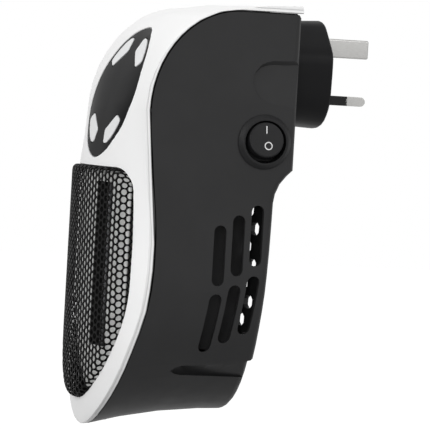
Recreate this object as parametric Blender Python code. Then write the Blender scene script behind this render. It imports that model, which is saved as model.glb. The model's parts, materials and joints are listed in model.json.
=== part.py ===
"""Plug-in fan heater: a moulded body on a swivelling three-pin plug, built piece by piece.

Metres, +Z up. The origin is the centre of the plug's pin face. The pins point along +Y,
the warm air leaves along -Y, and the rocker switch is on the +X side.
"""

import math

import bmesh
import bpy
import numpy as np
from mathutils import Matrix, Vector

# Clearances and mould sizes
GAP = 0.0003
WALL = 0.0022
OVERRUN = 0.004
ROUND_STEPS = 20
SMALL_ROUND_STEPS = 12
PANEL_STEPS = 48
OUTLET_CORNER_STEPS = 6
OUTLET_ROUND_STEPS = 16

# Body, seen from the front and from the side
BODY_HALF_WIDTH = 0.042
BODY_HEIGHT = 0.1768
BODY_DEPTH = 0.0768
SIDE_TAPER_SHARE = 0.040
HOUSING_TOP_Z = 0.0251
UNDERSIDE_RISE = 0.0082
ROUND_START_SHARE = 0.62
BACK_ROUND = 0.0032
BACK_ROUND_STEPS = 3
COVER_BAND = 0.0025
COVER_TOP_BAND = 0.0030
COVER_TOP_RISE = 0.0033
CREST_Z = 0.0170
CREST_BAND = 0.0004
CREST_RELIEF = 0.0145
CROWN_POWER_SHARE = 3.5

# Places along the side view, as shares of the body's height down and of its depth forward
SHOULDER_DROP_SHARE = 0.245
SHOULDER_BACK_SHARE = 0.345
SHOULDER_FRONT_SHARE = 0.831
RIM_SHARES = ((0.245, 0.831), (0.372, 0.805), (0.56, 0.764), (0.68, 0.775),
              (0.825, 0.838), (0.895, 0.876), (0.945, 0.908), (1.0, 0.945))
FRONT_SHARES = ((0.018, 0.57), (0.046, 0.69), (0.071, 0.745), (0.11, 0.797), (0.155, 0.846),
                (0.204, 0.8855), (0.255, 0.9225), (0.32, 0.9545), (0.36, 0.971), (0.41, 0.987),
                (0.48, 1.0), (0.88, 1.0), (0.94, 0.992), (0.975, 0.981), (1.0, 0.967))
TOP_SHARES = ((0.0, 0.0), (0.17, 0.003), (0.26, 0.006), (0.345, 0.0105), (0.435, 0.0165),
              (0.52, 0.024), (0.61, 0.036), (0.65, 0.047), (0.69, 0.0645))
TOP_BAND_SHARES = ((0.0, 1.0), (0.17, 0.87), (0.26, 0.55), (0.345, 0.2))
BAND_SHARES = ((0.045, 0.16), (0.10, 0.32), (0.16, 0.58), (0.245, 0.85), (0.35, 1.0),
               (0.93, 1.0), (0.975, 0.9), (1.0, 0.5))
BACK_SHARES = ((0.0, 0.0), (0.369, 0.0), (0.383, 0.033), (0.403, 0.070), (0.427, 0.093),
               (0.448, 0.101), (0.53, 0.104), (0.61, 0.111), (0.68, 0.118), (0.75, 0.125),
               (0.819, 0.127))
BUMPER_DROP_SHARE = 0.826
BUMPER_STEP = 0.0020
GROOVE_DROP_SHARE = 0.8665
LIGHT_RIB_SIDE_SHARE = 0.2976
LIGHT_RIB_THICKNESS = 0.0016
LIGHT_RIB_STEPS = 6

# Plug, to the British three-pin pattern
PLUG_LENGTH = 0.0219
PLUG_RADIUS = 0.0229
PLUG_ROOT_SHARE = 0.955
PLUG_EDGE_RADIUS = 0.0012
PLUG_EDGE_STEPS = 3
PLUG_SHARES = ((0.131, 1.026), (0.262, 1.004), (0.371, 0.965), (0.450, 0.910), (0.570, 0.792),
               (0.690, 0.668), (0.800, 0.556), (0.893, 0.445), (0.940, 0.330), (0.945, 0.200),
               (0.938, 0.0), (0.925, -0.20), (0.913, -0.36), (0.880, -0.52), (0.830, -0.625),
               (0.745, -0.735), (0.640, -0.835), (0.502, -0.913), (0.301, -0.965), (0.120, -0.980))
EARTH_RISE = 0.0122
PIN_PITCH_UP = 0.02223
PIN_PITCH_ACROSS = 0.02222
PIN_ROOT_DEPTH = 0.008
EARTH_PIN_LENGTH = 0.0227
EARTH_PIN_WIDTH = 0.004
EARTH_PIN_HEIGHT = 0.008
POWER_PIN_LENGTH = 0.0177
POWER_PIN_WIDTH = 0.00635
POWER_PIN_HEIGHT = 0.004
SLEEVE_LENGTH = 0.0092
SLEEVE_WALL = 0.0006
PIN_TIP_BEVEL = 0.0007
NECK_RADIUS = 0.0140
NECK_BORE_RADIUS = 0.0060
NECK_BORE_DEPTH = 0.010
SWIVEL_PLATE_RADIUS = 0.0172
SWIVEL_PLATE_THICKNESS = 0.003
SWIVEL_SCREW_PLACE = 0.0098
SWIVEL_SCREW_LENGTH = 0.009

# Rocker switch on the +X side
SWITCH_Y = -0.0362
SWITCH_DROP_SHARE = 0.30487
BEZEL_RADIUS = 0.0116
BEZEL_TOP_RADIUS = 0.0098
BEZEL_BORE_RADIUS = 0.0089
BEZEL_RISE = 0.0022
BEZEL_BARREL_WALL = 0.0008
SWITCH_DEPTH = 0.016
ROCKER_BASE_RADIUS = 0.0080
ROCKER_FACE_RADIUS = 0.0074
ROCKER_RISE = 0.0034
ROCKER_DROP = 0.0026
ROCKER_TILT_DEG = 10.0
ROCKER_PIVOT_DEPTH = 0.0025

# Air slots in the sides and the back
SLOT_WIDTH = 0.0053
SLOT_PITCH = 0.0079
SLOT_UPPER_DROP_SHARE = 0.5272
SLOT_LOWER_DROP_SHARE = 0.6922
SLOT_UPPER_LENGTH_SHARE = 0.1442
SLOT_LOWER_LENGTH_SHARE = 0.1397
SLOT_FIRST_FORWARD = 0.0150
SLOT_UPPER_STEP = 0.0045
SLOT_LOWER_STEP = 0.0041
SLOT_LOWER_LEAN = 0.0026
INTAKE_WIDTH_SHARE = 0.2738
INTAKE_HEIGHT = 0.0052
INTAKE_PITCH_SHARE = 0.3881
INTAKE_DROP_SHARE = 0.4700
INTAKE_ROW_SHARE = 0.04355
INTAKE_ROWS = 8

# Grip recess beside the plug and the groove above the bumper
GRIP_LENGTH = 0.0204
GRIP_HEIGHT = 0.0200
GRIP_TOP_Z = 0.0052
GRIP_DEPTH = 0.0016
GRIP_FLUSH = 0.0003
GRIP_SLANT = 0.0017
GRIP_SHARES = ((-0.10, -0.03), (0.34, 0.0), (0.57, 0.0), (0.725, 0.04), (0.835, 0.10), (0.95, 0.245),
               (0.995, 0.335), (1.0, 0.475), (0.945, 0.635), (0.815, 0.815), (0.585, 0.905),
               (0.335, 0.93), (0.065, 0.985), (-0.10, 1.0))
GROOVE_HEIGHT = 0.0040
GROOVE_DEPTH = 0.0032
GROOVE_BACKING = 0.0012
GROOVE_LENGTH_SHARE = 0.44
GROOVE_SHARES = ((0.0, 0.38, 0.42, 0.44, 0.05, 0.05), (0.06, 0.11, 0.76, 0.82, 0.75, 0.80),
                 (0.14, 0.0, 0.94, 1.04, 0.95, 1.0), (0.26, 0.0, 0.88, 1.10, 0.80, 0.95),
                 (0.45, 0.0, 0.78, 1.22, 0.55, 0.80), (0.65, 0.0, 0.66, 1.38, 0.35, 0.62),
                 (0.88, 0.0, 0.55, 1.50, 0.20, 0.45), (1.08, 0.0, 0.50, 1.55, 0.18, 0.42))

# Control panel: fascia, buttons, display and its board
FASCIA_WIDTH_SHARE = 0.6548
FASCIA_HEIGHT_SHARE = 0.1572
FASCIA_POWER = 1.85
FASCIA_DROP_SHARE = 0.2064
FASCIA_SUNK = 0.0003
FASCIA_FLANGE = 0.0013
FLANGE_THICKNESS = 0.0014
BUTTON_PROUD = 0.0002
BUTTON_DEPTH = 0.0034
BUTTON_TRAVEL = 0.0006
BUTTON_RISE = 0.0006
BUTTON_SHARES = ((0.24, 0.785), (0.29, 0.81), (0.38, 0.80), (0.51, 0.73), (0.62, 0.625), (0.70, 0.515),
                 (0.725, 0.46), (0.70, 0.425), (0.58, 0.37), (0.54, 0.375), (0.36, 0.49),
                 (0.205, 0.59), (0.19, 0.625))
BOARD_THICKNESS = 0.0016
CONTROL_BOARD_FORWARD_SHARE = 0.6484
POWER_BOARD_FORWARD_SHARE = 0.2578
CONTROL_BOARD_WIDTH_SHARE = 0.571
CONTROL_BOARD_LOW_SHARE = 0.323
CONTROL_BOARD_HIGH_SHARE = 0.108
DISPLAY_WIDTH = 0.026
DISPLAY_HEIGHT = 0.014
POWER_BOARD_LOW_SHARE = 0.238
POWER_BOARD_HIGH_SHARE = 0.0405

# Outlet: grille, baffle, heater and cut-out
GRILLE_WIDTH_SHARE = 0.8214
GRILLE_DROP_SHARE = 0.3852
GRILLE_HEIGHT_SHARE = 0.5515
GRILLE_CORNER = 0.0090
GRILLE_ROUND_SHARE = 0.47
GRILLE_PROUD = 0.0027
GRILLE_CROWN = 0.0062
GRILLE_SHEET = 0.0010
GRILLE_FOLD = 0.0022
GRILLE_FLANGE = 0.0016
GRILLE_HOLE = 0.0050
GRILLE_PITCH = 0.0068
BAFFLE_BACK = 0.0075
BAFFLE_THICKNESS = 0.0014
WINDOW_WIDTH = 0.0210
WINDOW_HEIGHT_SHARE = 0.3903
DUCT_DEPTH = 0.0035
HEATER_FRAME_WIDTH = 0.0300
HEATER_FRAME_HEIGHT_SHARE = 0.4412
HEATER_FRAME_DEPTH_SHARE = 0.1563
HEATER_FRAME_WALL = 0.0022
HEATER_FINS = 20
HEATER_FIN_SHARE = 0.42
HEATER_SPINE_WIDTH = 0.0060
CUTOUT_WIDTH = 0.0090
CUTOUT_HEIGHT = 0.0060
CUTOUT_DEPTH = 0.0040

# Fan, motor and shroud
FAN_DROP_SHARE = 0.6171
FAN_FORWARD_SHARE = 0.4922
FAN_TIP_SHARE = 0.6785
FAN_HUB_RADIUS = 0.0105
FAN_DEPTH = 0.0095
FAN_BLADES = 7
FAN_BLADE_THICKNESS = 0.0012
FAN_BLADE_SWEEP_DEG = 34.0
FAN_HUB_WALL = 0.0015
FAN_TIP_GAP = 0.0010
SHROUD_WALL = 0.0018
SHROUD_DEPTH = 0.0135
SHROUD_ARMS = 4
SHROUD_ARM_WIDTH = 0.0050
SHROUD_EAR_WIDTH = 0.0080
SHROUD_EAR_THICKNESS = 0.0024
MOTOR_RADIUS = 0.0100
MOTOR_LENGTH = 0.0150
MOTOR_NOSE_RADIUS = 0.0035
MOTOR_NOSE_LENGTH = 0.0014
SHAFT_RADIUS = 0.0010
SHAFT_GAP = 0.00008

# Case screws
SCREW_HEAD_RADIUS = 0.0029
SCREW_HEAD_HEIGHT = 0.0018
SCREW_SHANK_RADIUS = 0.0014
POST_RADIUS = 0.0042
POST_SEAT_FORWARD_SHARE = 0.362
POST_GRIP = 0.0080
CASE_SCREW_SIDE_SHARE = 0.786
CASE_SCREW_DROP_SHARE = 0.0628
LIP_SCREW_BACK = 0.0075
LIP_PAD = 0.0014
LIP_BLOCK_TOP = 0.0009

# Finishes: colour, roughness, metallic
BLACK_PLASTIC = ("black_plastic", (0.045, 0.045, 0.048), 0.48, 0.0)
PLUG_PLASTIC = ("plug_plastic", (0.022, 0.022, 0.024), 0.42, 0.0)
WHITE_PLASTIC = ("white_plastic", (0.86, 0.86, 0.86), 0.32, 0.0)
GLOSS_BLACK = ("gloss_black", (0.035, 0.035, 0.037), 0.12, 0.0)
PALE_BUTTON = ("pale_button", (0.70, 0.71, 0.72), 0.45, 0.0)
PIN_METAL = ("pin_metal", (0.66, 0.66, 0.64), 0.34, 1.0)
STEEL = ("steel", (0.55, 0.56, 0.57), 0.35, 1.0)
ALUMINIUM = ("aluminium", (0.75, 0.76, 0.77), 0.38, 1.0)
GRILLE_BLACK = ("grille_black", (0.014, 0.014, 0.014), 0.40, 0.3)
BOARD_GREEN = ("board_green", (0.03, 0.16, 0.06), 0.50, 0.0)
CERAMIC = ("ceramic", (0.62, 0.58, 0.50), 0.60, 0.0)
COPPER_TONE = ("cutout_metal", (0.60, 0.55, 0.46), 0.38, 1.0)

BACK_Y = -(PLUG_LENGTH + GAP)
LIP_Z = HOUSING_TOP_Z - BODY_HEIGHT
BOTTOM_Z = LIP_Z + UNDERSIDE_RISE
ROUND_START_Z = HOUSING_TOP_Z - ROUND_START_SHARE * BODY_HEIGHT
INNER_BACK_Y = BACK_Y - WALL
SHOULDER_Y = BACK_Y - BODY_DEPTH * SHOULDER_BACK_SHARE
SHOULDER_Z = HOUSING_TOP_Z - BODY_HEIGHT * SHOULDER_DROP_SHARE
SHOULDER_REACH = BODY_DEPTH * (SHOULDER_FRONT_SHARE - SHOULDER_BACK_SHARE)
SHOULDER_RISE = HOUSING_TOP_Z - SHOULDER_Z
GROOVE_Z = HOUSING_TOP_Z - GROOVE_DROP_SHARE * BODY_HEIGHT
SLOT_UPPER_Z = HOUSING_TOP_Z - SLOT_UPPER_DROP_SHARE * BODY_HEIGHT
SLOT_LOWER_Z = HOUSING_TOP_Z - SLOT_LOWER_DROP_SHARE * BODY_HEIGHT
SLOT_UPPER_LENGTH = SLOT_UPPER_LENGTH_SHARE * BODY_HEIGHT
SLOT_LOWER_LENGTH = SLOT_LOWER_LENGTH_SHARE * BODY_HEIGHT
INTAKE_TOP_Z = HOUSING_TOP_Z - INTAKE_DROP_SHARE * BODY_HEIGHT
INTAKE_ROW_PITCH = INTAKE_ROW_SHARE * BODY_HEIGHT
CONTROL_BOARD_Y = BACK_Y - CONTROL_BOARD_FORWARD_SHARE * BODY_DEPTH
POWER_BOARD_Y = BACK_Y - POWER_BOARD_FORWARD_SHARE * BODY_DEPTH
POST_SEAT_Y = BACK_Y - POST_SEAT_FORWARD_SHARE * BODY_DEPTH
GRILLE_TOP_Z = HOUSING_TOP_Z - GRILLE_DROP_SHARE * BODY_HEIGHT
GRILLE_HEIGHT = GRILLE_HEIGHT_SHARE * BODY_HEIGHT
BAFFLE_Y = BACK_Y - BODY_DEPTH + BAFFLE_BACK
WINDOW_HEIGHT = WINDOW_HEIGHT_SHARE * BODY_HEIGHT
HEATER_FRAME_HEIGHT = HEATER_FRAME_HEIGHT_SHARE * BODY_HEIGHT
FAN_Z = HOUSING_TOP_Z - FAN_DROP_SHARE * BODY_HEIGHT
WINDOW_Z = FAN_Z
GRILLE_HALF_WIDTH = GRILLE_WIDTH_SHARE * BODY_HALF_WIDTH
FASCIA_HALF_WIDTH = FASCIA_WIDTH_SHARE * BODY_HALF_WIDTH
FASCIA_HALF_HEIGHT = FASCIA_HEIGHT_SHARE * BODY_HEIGHT
FASCIA_Z = HOUSING_TOP_Z - FASCIA_DROP_SHARE * BODY_HEIGHT
CONTROL_BOARD_HALF_WIDTH = CONTROL_BOARD_WIDTH_SHARE * BODY_HALF_WIDTH
CONTROL_BOARD_LOW_Z = HOUSING_TOP_Z - CONTROL_BOARD_LOW_SHARE * BODY_HEIGHT
CONTROL_BOARD_HIGH_Z = HOUSING_TOP_Z - CONTROL_BOARD_HIGH_SHARE * BODY_HEIGHT
POWER_BOARD_LOW_Z = HOUSING_TOP_Z - POWER_BOARD_LOW_SHARE * BODY_HEIGHT
POWER_BOARD_HIGH_Z = HOUSING_TOP_Z - POWER_BOARD_HIGH_SHARE * BODY_HEIGHT
CASE_SCREW_X = CASE_SCREW_SIDE_SHARE * BODY_HALF_WIDTH
CASE_SCREW_Z = HOUSING_TOP_Z - CASE_SCREW_DROP_SHARE * BODY_HEIGHT
FAN_TIP_RADIUS = FAN_TIP_SHARE * BODY_HALF_WIDTH
HEATER_FRAME_DEPTH = HEATER_FRAME_DEPTH_SHARE * BODY_DEPTH
INTAKE_PITCH = INTAKE_PITCH_SHARE * BODY_HALF_WIDTH
INTAKE_WIDTH = INTAKE_WIDTH_SHARE * BODY_HALF_WIDTH
SWITCH_Z = HOUSING_TOP_Z - SWITCH_DROP_SHARE * BODY_HEIGHT
LIGHT_RIB_X = LIGHT_RIB_SIDE_SHARE * BODY_HALF_WIDTH
FAN_Y = BACK_Y - FAN_FORWARD_SHARE * BODY_DEPTH


def clear_scene():
    """Remove whatever the file opened with."""
    for old in list(bpy.data.objects):
        bpy.data.objects.remove(old, do_unlink=True)


def finish(spec):
    """Return the Principled material of one finish, made on first use."""
    name, colour, rough, metal = spec
    if name in bpy.data.materials:
        return bpy.data.materials[name]
    mat = bpy.data.materials.new(name)
    mat.use_nodes = True
    shader = mat.node_tree.nodes["Principled BSDF"]
    shader.inputs["Base Color"].default_value = (*colour, 1.0)
    shader.inputs["Roughness"].default_value = rough
    shader.inputs["Metallic"].default_value = metal
    mat.diffuse_color = (*colour, 1.0)
    return mat


def add_object(name, verts, faces, spec, smooth=True):
    """Make one object from points and faces, with its faces turned outwards."""
    mesh = bpy.data.meshes.new(name)
    mesh.from_pydata([tuple(v) for v in verts], [], [tuple(f) for f in faces])
    work = bmesh.new()
    work.from_mesh(mesh)
    bmesh.ops.recalc_face_normals(work, faces=work.faces)
    work.to_mesh(mesh)
    work.free()
    obj = bpy.data.objects.new(name, mesh)
    bpy.context.scene.collection.objects.link(obj)
    mesh.materials.append(finish(spec))
    if smooth:
        mesh.shade_smooth()
        mesh.set_sharp_from_angle(angle=math.radians(32))
    return obj


def as_tool(obj):
    """Mark an object as a hidden guide that only shapes others."""
    obj.hide_render = True
    obj.display_type = 'WIRE'
    return obj


def boolean(target, tool, operation):
    """Combine a target with a hidden tool."""
    step = target.modifiers.new(f"{operation.lower()} {tool.name}", 'BOOLEAN')
    step.operation = operation
    step.solver = 'EXACT'
    step.object = as_tool(tool)
    return target


def cut(target, tool):
    return boolean(target, tool, 'DIFFERENCE')


def fuse(target, tool):
    return boolean(target, tool, 'UNION')


def skin(rings, closed=True, caps=True):
    """Faces that join equal rings of points, in order, with both ends filled if asked."""
    count = len(rings[0])
    verts = [p for ring in rings for p in ring]
    faces = []
    span = count if closed else count - 1
    for level in range(len(rings) - 1):
        for i in range(span):
            a = level * count + i
            b = level * count + (i + 1) % count
            faces.append((a, b, b + count, a + count))
    if caps:
        faces.append(tuple(range(count)))
        faces.append(tuple(range((len(rings) - 1) * count, len(rings) * count)))
    return verts, faces


def turned(name, profile, centre, axis, spec, steps=ROUND_STEPS, closed=False):
    """Turn a profile of (radius, distance along the axis) pairs into a solid of revolution."""
    axis = Vector(axis).normalized()
    side = axis.orthogonal().normalized()
    other = axis.cross(side)
    rings = []
    for i in range(steps):
        turn = math.tau * i / steps
        out = side * math.cos(turn) + other * math.sin(turn)
        rings.append([Vector(centre) + out * radius + axis * along for radius, along in profile])
    work = bmesh.new()
    grid = [[work.verts.new(p) for p in ring] for ring in rings]
    count = len(profile)
    span = count if closed else count - 1
    for i in range(steps):
        here, there = grid[i], grid[(i + 1) % steps]
        for j in range(span):
            k = (j + 1) % count
            work.faces.new((here[j], here[k], there[k], there[j]))
    if not closed:
        work.faces.new([ring[0] for ring in grid])
        work.faces.new([ring[-1] for ring in grid])
    bmesh.ops.recalc_face_normals(work, faces=work.faces)
    mesh = bpy.data.meshes.new(name)
    work.to_mesh(mesh)
    work.free()
    obj = bpy.data.objects.new(name, mesh)
    bpy.context.scene.collection.objects.link(obj)
    mesh.materials.append(finish(spec))
    mesh.shade_smooth()
    mesh.set_sharp_from_angle(angle=math.radians(32))
    return obj


def prism(name, outline, low, high, axis, spec):
    """Extrude a flat outline between two levels along the X, Y or Z axis."""
    places = {'X': lambda a, b, h: (h, a, b), 'Y': lambda a, b, h: (a, h, b),
              'Z': lambda a, b, h: (a, b, h)}
    rings = [[places[axis](a, b, level) for a, b in outline] for level in (low, high)]
    verts, faces = skin(rings)
    return add_object(name, verts, faces, spec, smooth=False)


def block(name, low, high, spec):
    """A plain rectangular solid between two corners."""
    outline = ((low[0], low[2]), (high[0], low[2]), (high[0], high[2]), (low[0], high[2]))
    return prism(name, outline, low[1], high[1], 'Y', spec)


def soften(obj, width, segments=2):
    """Round an object's sharp edges."""
    step = obj.modifiers.new("soft edges", 'BEVEL')
    step.width = width
    step.segments = segments
    step.limit_method = 'ANGLE'
    step.angle_limit = math.radians(40)
    return obj


def thicken(obj, wall):
    """Give a one-sided sheet its wall, on the inner side."""
    step = obj.modifiers.new("wall", 'SOLIDIFY')
    step.thickness = wall
    step.offset = -1.0
    step.use_even_offset = True
    return obj


def stadium(width, length, steps=SMALL_ROUND_STEPS):
    """Points of a round-ended slot, its length along the second coordinate."""
    radius = width / 2
    reach = length / 2 - radius
    points = []
    for i in range(steps + 1):
        turn = math.pi * i / steps
        points.append((radius * math.cos(turn), reach + radius * math.sin(turn)))
    for i in range(steps + 1):
        turn = math.pi * (1 + i / steps)
        points.append((radius * math.cos(turn), -reach + radius * math.sin(turn)))
    return points


def smooth_through(points):
    """A smooth curve through points with rising first coordinates, with no overshoot."""
    xs = np.array([p[0] for p in points], dtype=float)
    ys = np.array([p[1] for p in points], dtype=float)
    slope = np.diff(ys) / np.diff(xs)
    tangent = np.zeros(len(xs))
    tangent[0], tangent[-1] = slope[0], slope[-1]
    for i in range(1, len(xs) - 1):
        if slope[i - 1] * slope[i] > 0:
            tangent[i] = 2 * slope[i - 1] * slope[i] / (slope[i - 1] + slope[i])

    def value(x):
        i = int(np.clip(np.searchsorted(xs, x) - 1, 0, len(slope) - 1))
        step = xs[i + 1] - xs[i]
        t = (x - xs[i]) / step
        return float(ys[i] * (1 + 2 * t) * (1 - t) ** 2 + tangent[i] * step * t * (1 - t) ** 2
                     + ys[i + 1] * t * t * (3 - 2 * t) + tangent[i + 1] * step * t * t * (t - 1))
    return value


rim_share = smooth_through(RIM_SHARES)
front_share = smooth_through(FRONT_SHARES)
top_share = smooth_through(TOP_SHARES)
top_band_share = smooth_through(TOP_BAND_SHARES)
band_share = smooth_through(BAND_SHARES)
back_share = smooth_through(BACK_SHARES)


def drop_share(z):
    """How far a height lies below the housing's top, as a share of the body's height."""
    return (HOUSING_TOP_Z - z) / BODY_HEIGHT


def rim_y(z, grow=0.0):
    """The parting line from the side, or a line that runs at a distance outside it."""
    if z <= SHOULDER_Z:
        return BACK_Y - BODY_DEPTH * rim_share(min(drop_share(z), 1.0)) - grow
    up = min((z - SHOULDER_Z) / (SHOULDER_RISE + grow), 1.0)
    return SHOULDER_Y - (SHOULDER_REACH + grow) * math.sqrt(1 - up * up)


def front_y(z):
    """The cover's front on the centre plane."""
    return BACK_Y - BODY_DEPTH * front_share(min(drop_share(z), 1.0))


def back_y(z):
    """The housing's back, which steps forward below the plug and again at the bumper."""
    drop = drop_share(z)
    if drop > BUMPER_DROP_SHARE:
        return back_y(HOUSING_TOP_Z - BUMPER_DROP_SHARE * BODY_HEIGHT) - BUMPER_STEP
    return BACK_Y - BODY_DEPTH * back_share(min(drop, BACK_SHARES[-1][0]))


def side_x(y):
    """The side wall's distance from the centre plane: it leans in a little to the front."""
    return BODY_HALF_WIDTH + SIDE_TAPER_SHARE * (y - BACK_Y)


def band(z):
    """How far the cover's side stands straight up from its edge."""
    return COVER_BAND * band_share(drop_share(z))


def cover_y(x, z):
    """The cover's front surface below its crest."""
    start = rim_y(z, GAP + band(z))
    u = min(abs(x) / max(half_width(z, rim_y(z), LIP_Z), GAP), 1.0)
    return start + (front_y(z) - start) * (1 - u ** CROWN_POWER_SHARE)


def half_width(z, y, bottom):
    """Half the body's width at a height, straight above and round below."""
    width = side_x(y)
    if z >= ROUND_START_Z:
        return width
    down = min((ROUND_START_Z - z) / (ROUND_START_Z - bottom), 1.0)
    return width * math.sqrt(max(0.0, 1 - down * down))


def cover_normal(x, z):
    """The outward direction of the cover's front surface."""
    step = WALL / 2
    across = (cover_y(x + step, z) - cover_y(x - step, z)) / WALL
    along = (cover_y(x, z + step) - cover_y(x, z - step)) / WALL
    return Vector((across, -1.0, along)).normalized()


def behind_cover(x, z, depth):
    """A point straight behind the cover's front surface, at a depth square to the surface."""
    return Vector((x, cover_y(x, z) - depth / cover_normal(x, z).y, z))


def on_cover(x, z, out):
    """A point at a distance outside (or, if negative, inside) the cover's front surface."""
    return Vector((x, cover_y(x, z), z)) + cover_normal(x, z) * out


def straight_rows():
    """Heights of the side's rows, close together where the shoulder and the back curve."""
    rows = {HOUSING_TOP_Z - SHOULDER_DROP_SHARE * BODY_HEIGHT * (1 - math.cos(math.pi / 2 * i / 9))
            for i in range(10)}
    rows |= {HOUSING_TOP_Z - share * BODY_HEIGHT for share, _ in BACK_SHARES[1:6]}
    rows |= {HOUSING_TOP_Z - share * BODY_HEIGHT for share in (0.31, 0.50, 0.56, 0.62)}
    return sorted(rows, reverse=True)


def round_rows(low):
    """Turns of the round bottom's rows, two of them on the bumper's step."""
    step_z = HOUSING_TOP_Z - BUMPER_DROP_SHARE * BODY_HEIGHT
    turn = math.asin((ROUND_START_Z - step_z) / (ROUND_START_Z - low))
    ledge = GAP / (ROUND_START_Z - low)
    before = [turn * i / 5 for i in range(1, 5)] + [turn, turn + ledge * 2]
    after = [turn + (math.pi / 2 - turn) * i / 7 for i in range(1, 8)]
    return before + after


def body_column(inset, levels):
    """Rows of points for one half of the housing wall, from its rim to its back.

    Each row holds the points at the given shares of the way from rim to back.
    """
    rows = []
    for z in straight_rows():
        height = z - inset * max(0.0, 1 - (HOUSING_TOP_Z - z) / SHOULDER_RISE)
        rows.append([(side_x(y) - inset, y, height) for y in wall_places(z, levels, inset)])
    for turn in round_rows(BOTTOM_Z):
        row = []
        rim_z = ROUND_START_Z - (ROUND_START_Z - LIP_Z) * math.sin(turn)
        back_z = ROUND_START_Z - (ROUND_START_Z - BOTTOM_Z) * math.sin(turn)
        start, end = rim_y(rim_z), back_y(back_z)
        if inset:
            end -= inset
        for level in levels:
            ease = (1 - level) ** 2
            low = BOTTOM_Z + (LIP_Z - BOTTOM_Z) * ease + inset
            y = start + (end - start) * level
            across = (side_x(y) - inset) * math.cos(turn)
            row.append((max(across, 0.0), y, ROUND_START_Z + (low - ROUND_START_Z) * math.sin(turn)))
        rows.append(row)
    return rows


def wall_places(z, levels, inset):
    start, end = rim_y(z), back_y(z) - inset
    return [start + (end - start) * level for level in levels]


def ring_of(rows, level):
    """The closed ring of wall points at one level: down the +X side and up the -X side."""
    right = [rows[i][level] for i in range(len(rows))]
    left = [(-x, y, z) for x, y, z in reversed(right[:-1])]
    return right + left


def rounded_back(ring):
    """The rings that carry the side wall round into the back."""
    rings = []
    for i in range(BACK_ROUND_STEPS + 1):
        turn = math.pi / 2 * i / BACK_ROUND_STEPS
        inset, short = BACK_ROUND * (1 - math.cos(turn)), BACK_ROUND * (1 - math.sin(turn))
        drawn = []
        for x, y, z in ring:
            low = inset * max(0.0, (ROUND_START_Z - z) / (ROUND_START_Z - BOTTOM_Z))
            high = inset * max(0.0, 1 - (HOUSING_TOP_Z - z) / SHOULDER_RISE)
            across = x * (1 - inset / BODY_HALF_WIDTH)
            drawn.append((across, y - short, z + low - high))
        rings.append(drawn)
    return rings


def ladder(start, count, flip):
    """Faces across a symmetric ring, rung by rung, from the top to the bottom point."""
    faces = []
    half = count // 2
    for i in range(half):
        a, b = start + i, start + i + 1
        c, d = start + count - 1 - i, start + count - 2 - i
        faces.append((a, b, c) if b == d else (a, b, d, c))
    return [tuple(reversed(f)) for f in faces] if flip else faces


def housing_shell():
    """The open moulded tub: outer wall, rim, inner wall and both sides of its back."""
    levels = (0.0, 0.22, 0.5, 0.8, 1.0)
    outer = body_column(0.0, levels)
    inner = body_column(WALL, (0.0, 0.3, 1.0))
    rings = [ring_of(inner, 2), ring_of(inner, 1), ring_of(inner, 0)]
    rings += [ring_of(outer, i) for i in range(len(levels) - 1)]
    rings += rounded_back(ring_of(outer, len(levels) - 1))
    verts, faces = skin(rings, closed=True, caps=False)
    count = len(rings[0])
    faces += ladder(0, count, False)
    faces += ladder((len(rings) - 1) * count, count, True)
    return add_object("rear_housing", verts, faces, BLACK_PLASTIC)


def slot_places():
    """Centres, lengths and leans of the six side slots, as (y, z, length, lean)."""
    places = []
    for column in range(3):
        y = BACK_Y - SLOT_FIRST_FORWARD - column * SLOT_PITCH
        places.append((y, SLOT_UPPER_Z - column * SLOT_UPPER_STEP, SLOT_UPPER_LENGTH, 0.0))
        lower = SLOT_LOWER_Z - column * SLOT_LOWER_STEP
        places.append((y - SLOT_LOWER_LEAN / 2, lower, SLOT_LOWER_LENGTH, SLOT_LOWER_LEAN))
    return places


def cut_side_slots(housing):
    reach = BODY_HALF_WIDTH + OVERRUN
    for index, (y, z, length, lean) in enumerate(slot_places()):
        shape = [(y + a + lean * b / length, z + b) for a, b in stadium(SLOT_WIDTH, length, 6)]
        cut(housing, prism(f"side slot {index}", shape, -reach, reach, 'X', BLACK_PLASTIC))


def intake_places():
    """Centres of the back's intake holes, laid like bricks, as (x, z)."""
    places = []
    for row in range(INTAKE_ROWS):
        z = INTAKE_TOP_Z - row * INTAKE_ROW_PITCH
        steps = (-1.0, 0.0, 1.0) if row % 2 == 0 else (-1.5, -0.5, 0.5, 1.5)
        places += [(step * INTAKE_PITCH, z) for step in steps]
    return places


def cut_intake_holes(housing):
    rings = []
    for x, z in intake_places():
        shape = [(x + b, z + a) for a, b in stadium(INTAKE_HEIGHT, INTAKE_WIDTH, 3)]
        rings.append(shape)
    deep = back_y(INTAKE_TOP_Z - INTAKE_ROWS * INTAKE_ROW_PITCH) - WALL - OVERRUN / 2
    for index, shape in enumerate(rings):
        cut(housing, prism(f"intake {index}", shape, deep, BACK_Y, 'Y', BLACK_PLASTIC))


def at_switch(obj):
    """Move a piece built round the origin, facing +X, to the switch's place on the wall."""
    lean = Matrix.Rotation(-math.atan(SIDE_TAPER_SHARE), 4, 'Z')
    obj.data.transform(Matrix.Translation((side_x(SWITCH_Y), SWITCH_Y, SWITCH_Z)) @ lean)
    return obj


def cut_switch_hole(housing):
    radius = BEZEL_BORE_RADIUS + BEZEL_BARREL_WALL + GAP
    cut(housing, at_switch(turned("switch hole", ((radius, -OVERRUN), (radius, OVERRUN)), (0, 0, 0),
                                  (1, 0, 0), BLACK_PLASTIC, 28)))


def cut_plug_seat(housing):
    radius = NECK_RADIUS + GAP
    tool = turned("neck bore", ((radius, -OVERRUN / 2), (radius, WALL + OVERRUN / 2)),
                  (0, INNER_BACK_Y, 0), (0, 1, 0), BLACK_PLASTIC)
    cut(housing, tool)


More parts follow.
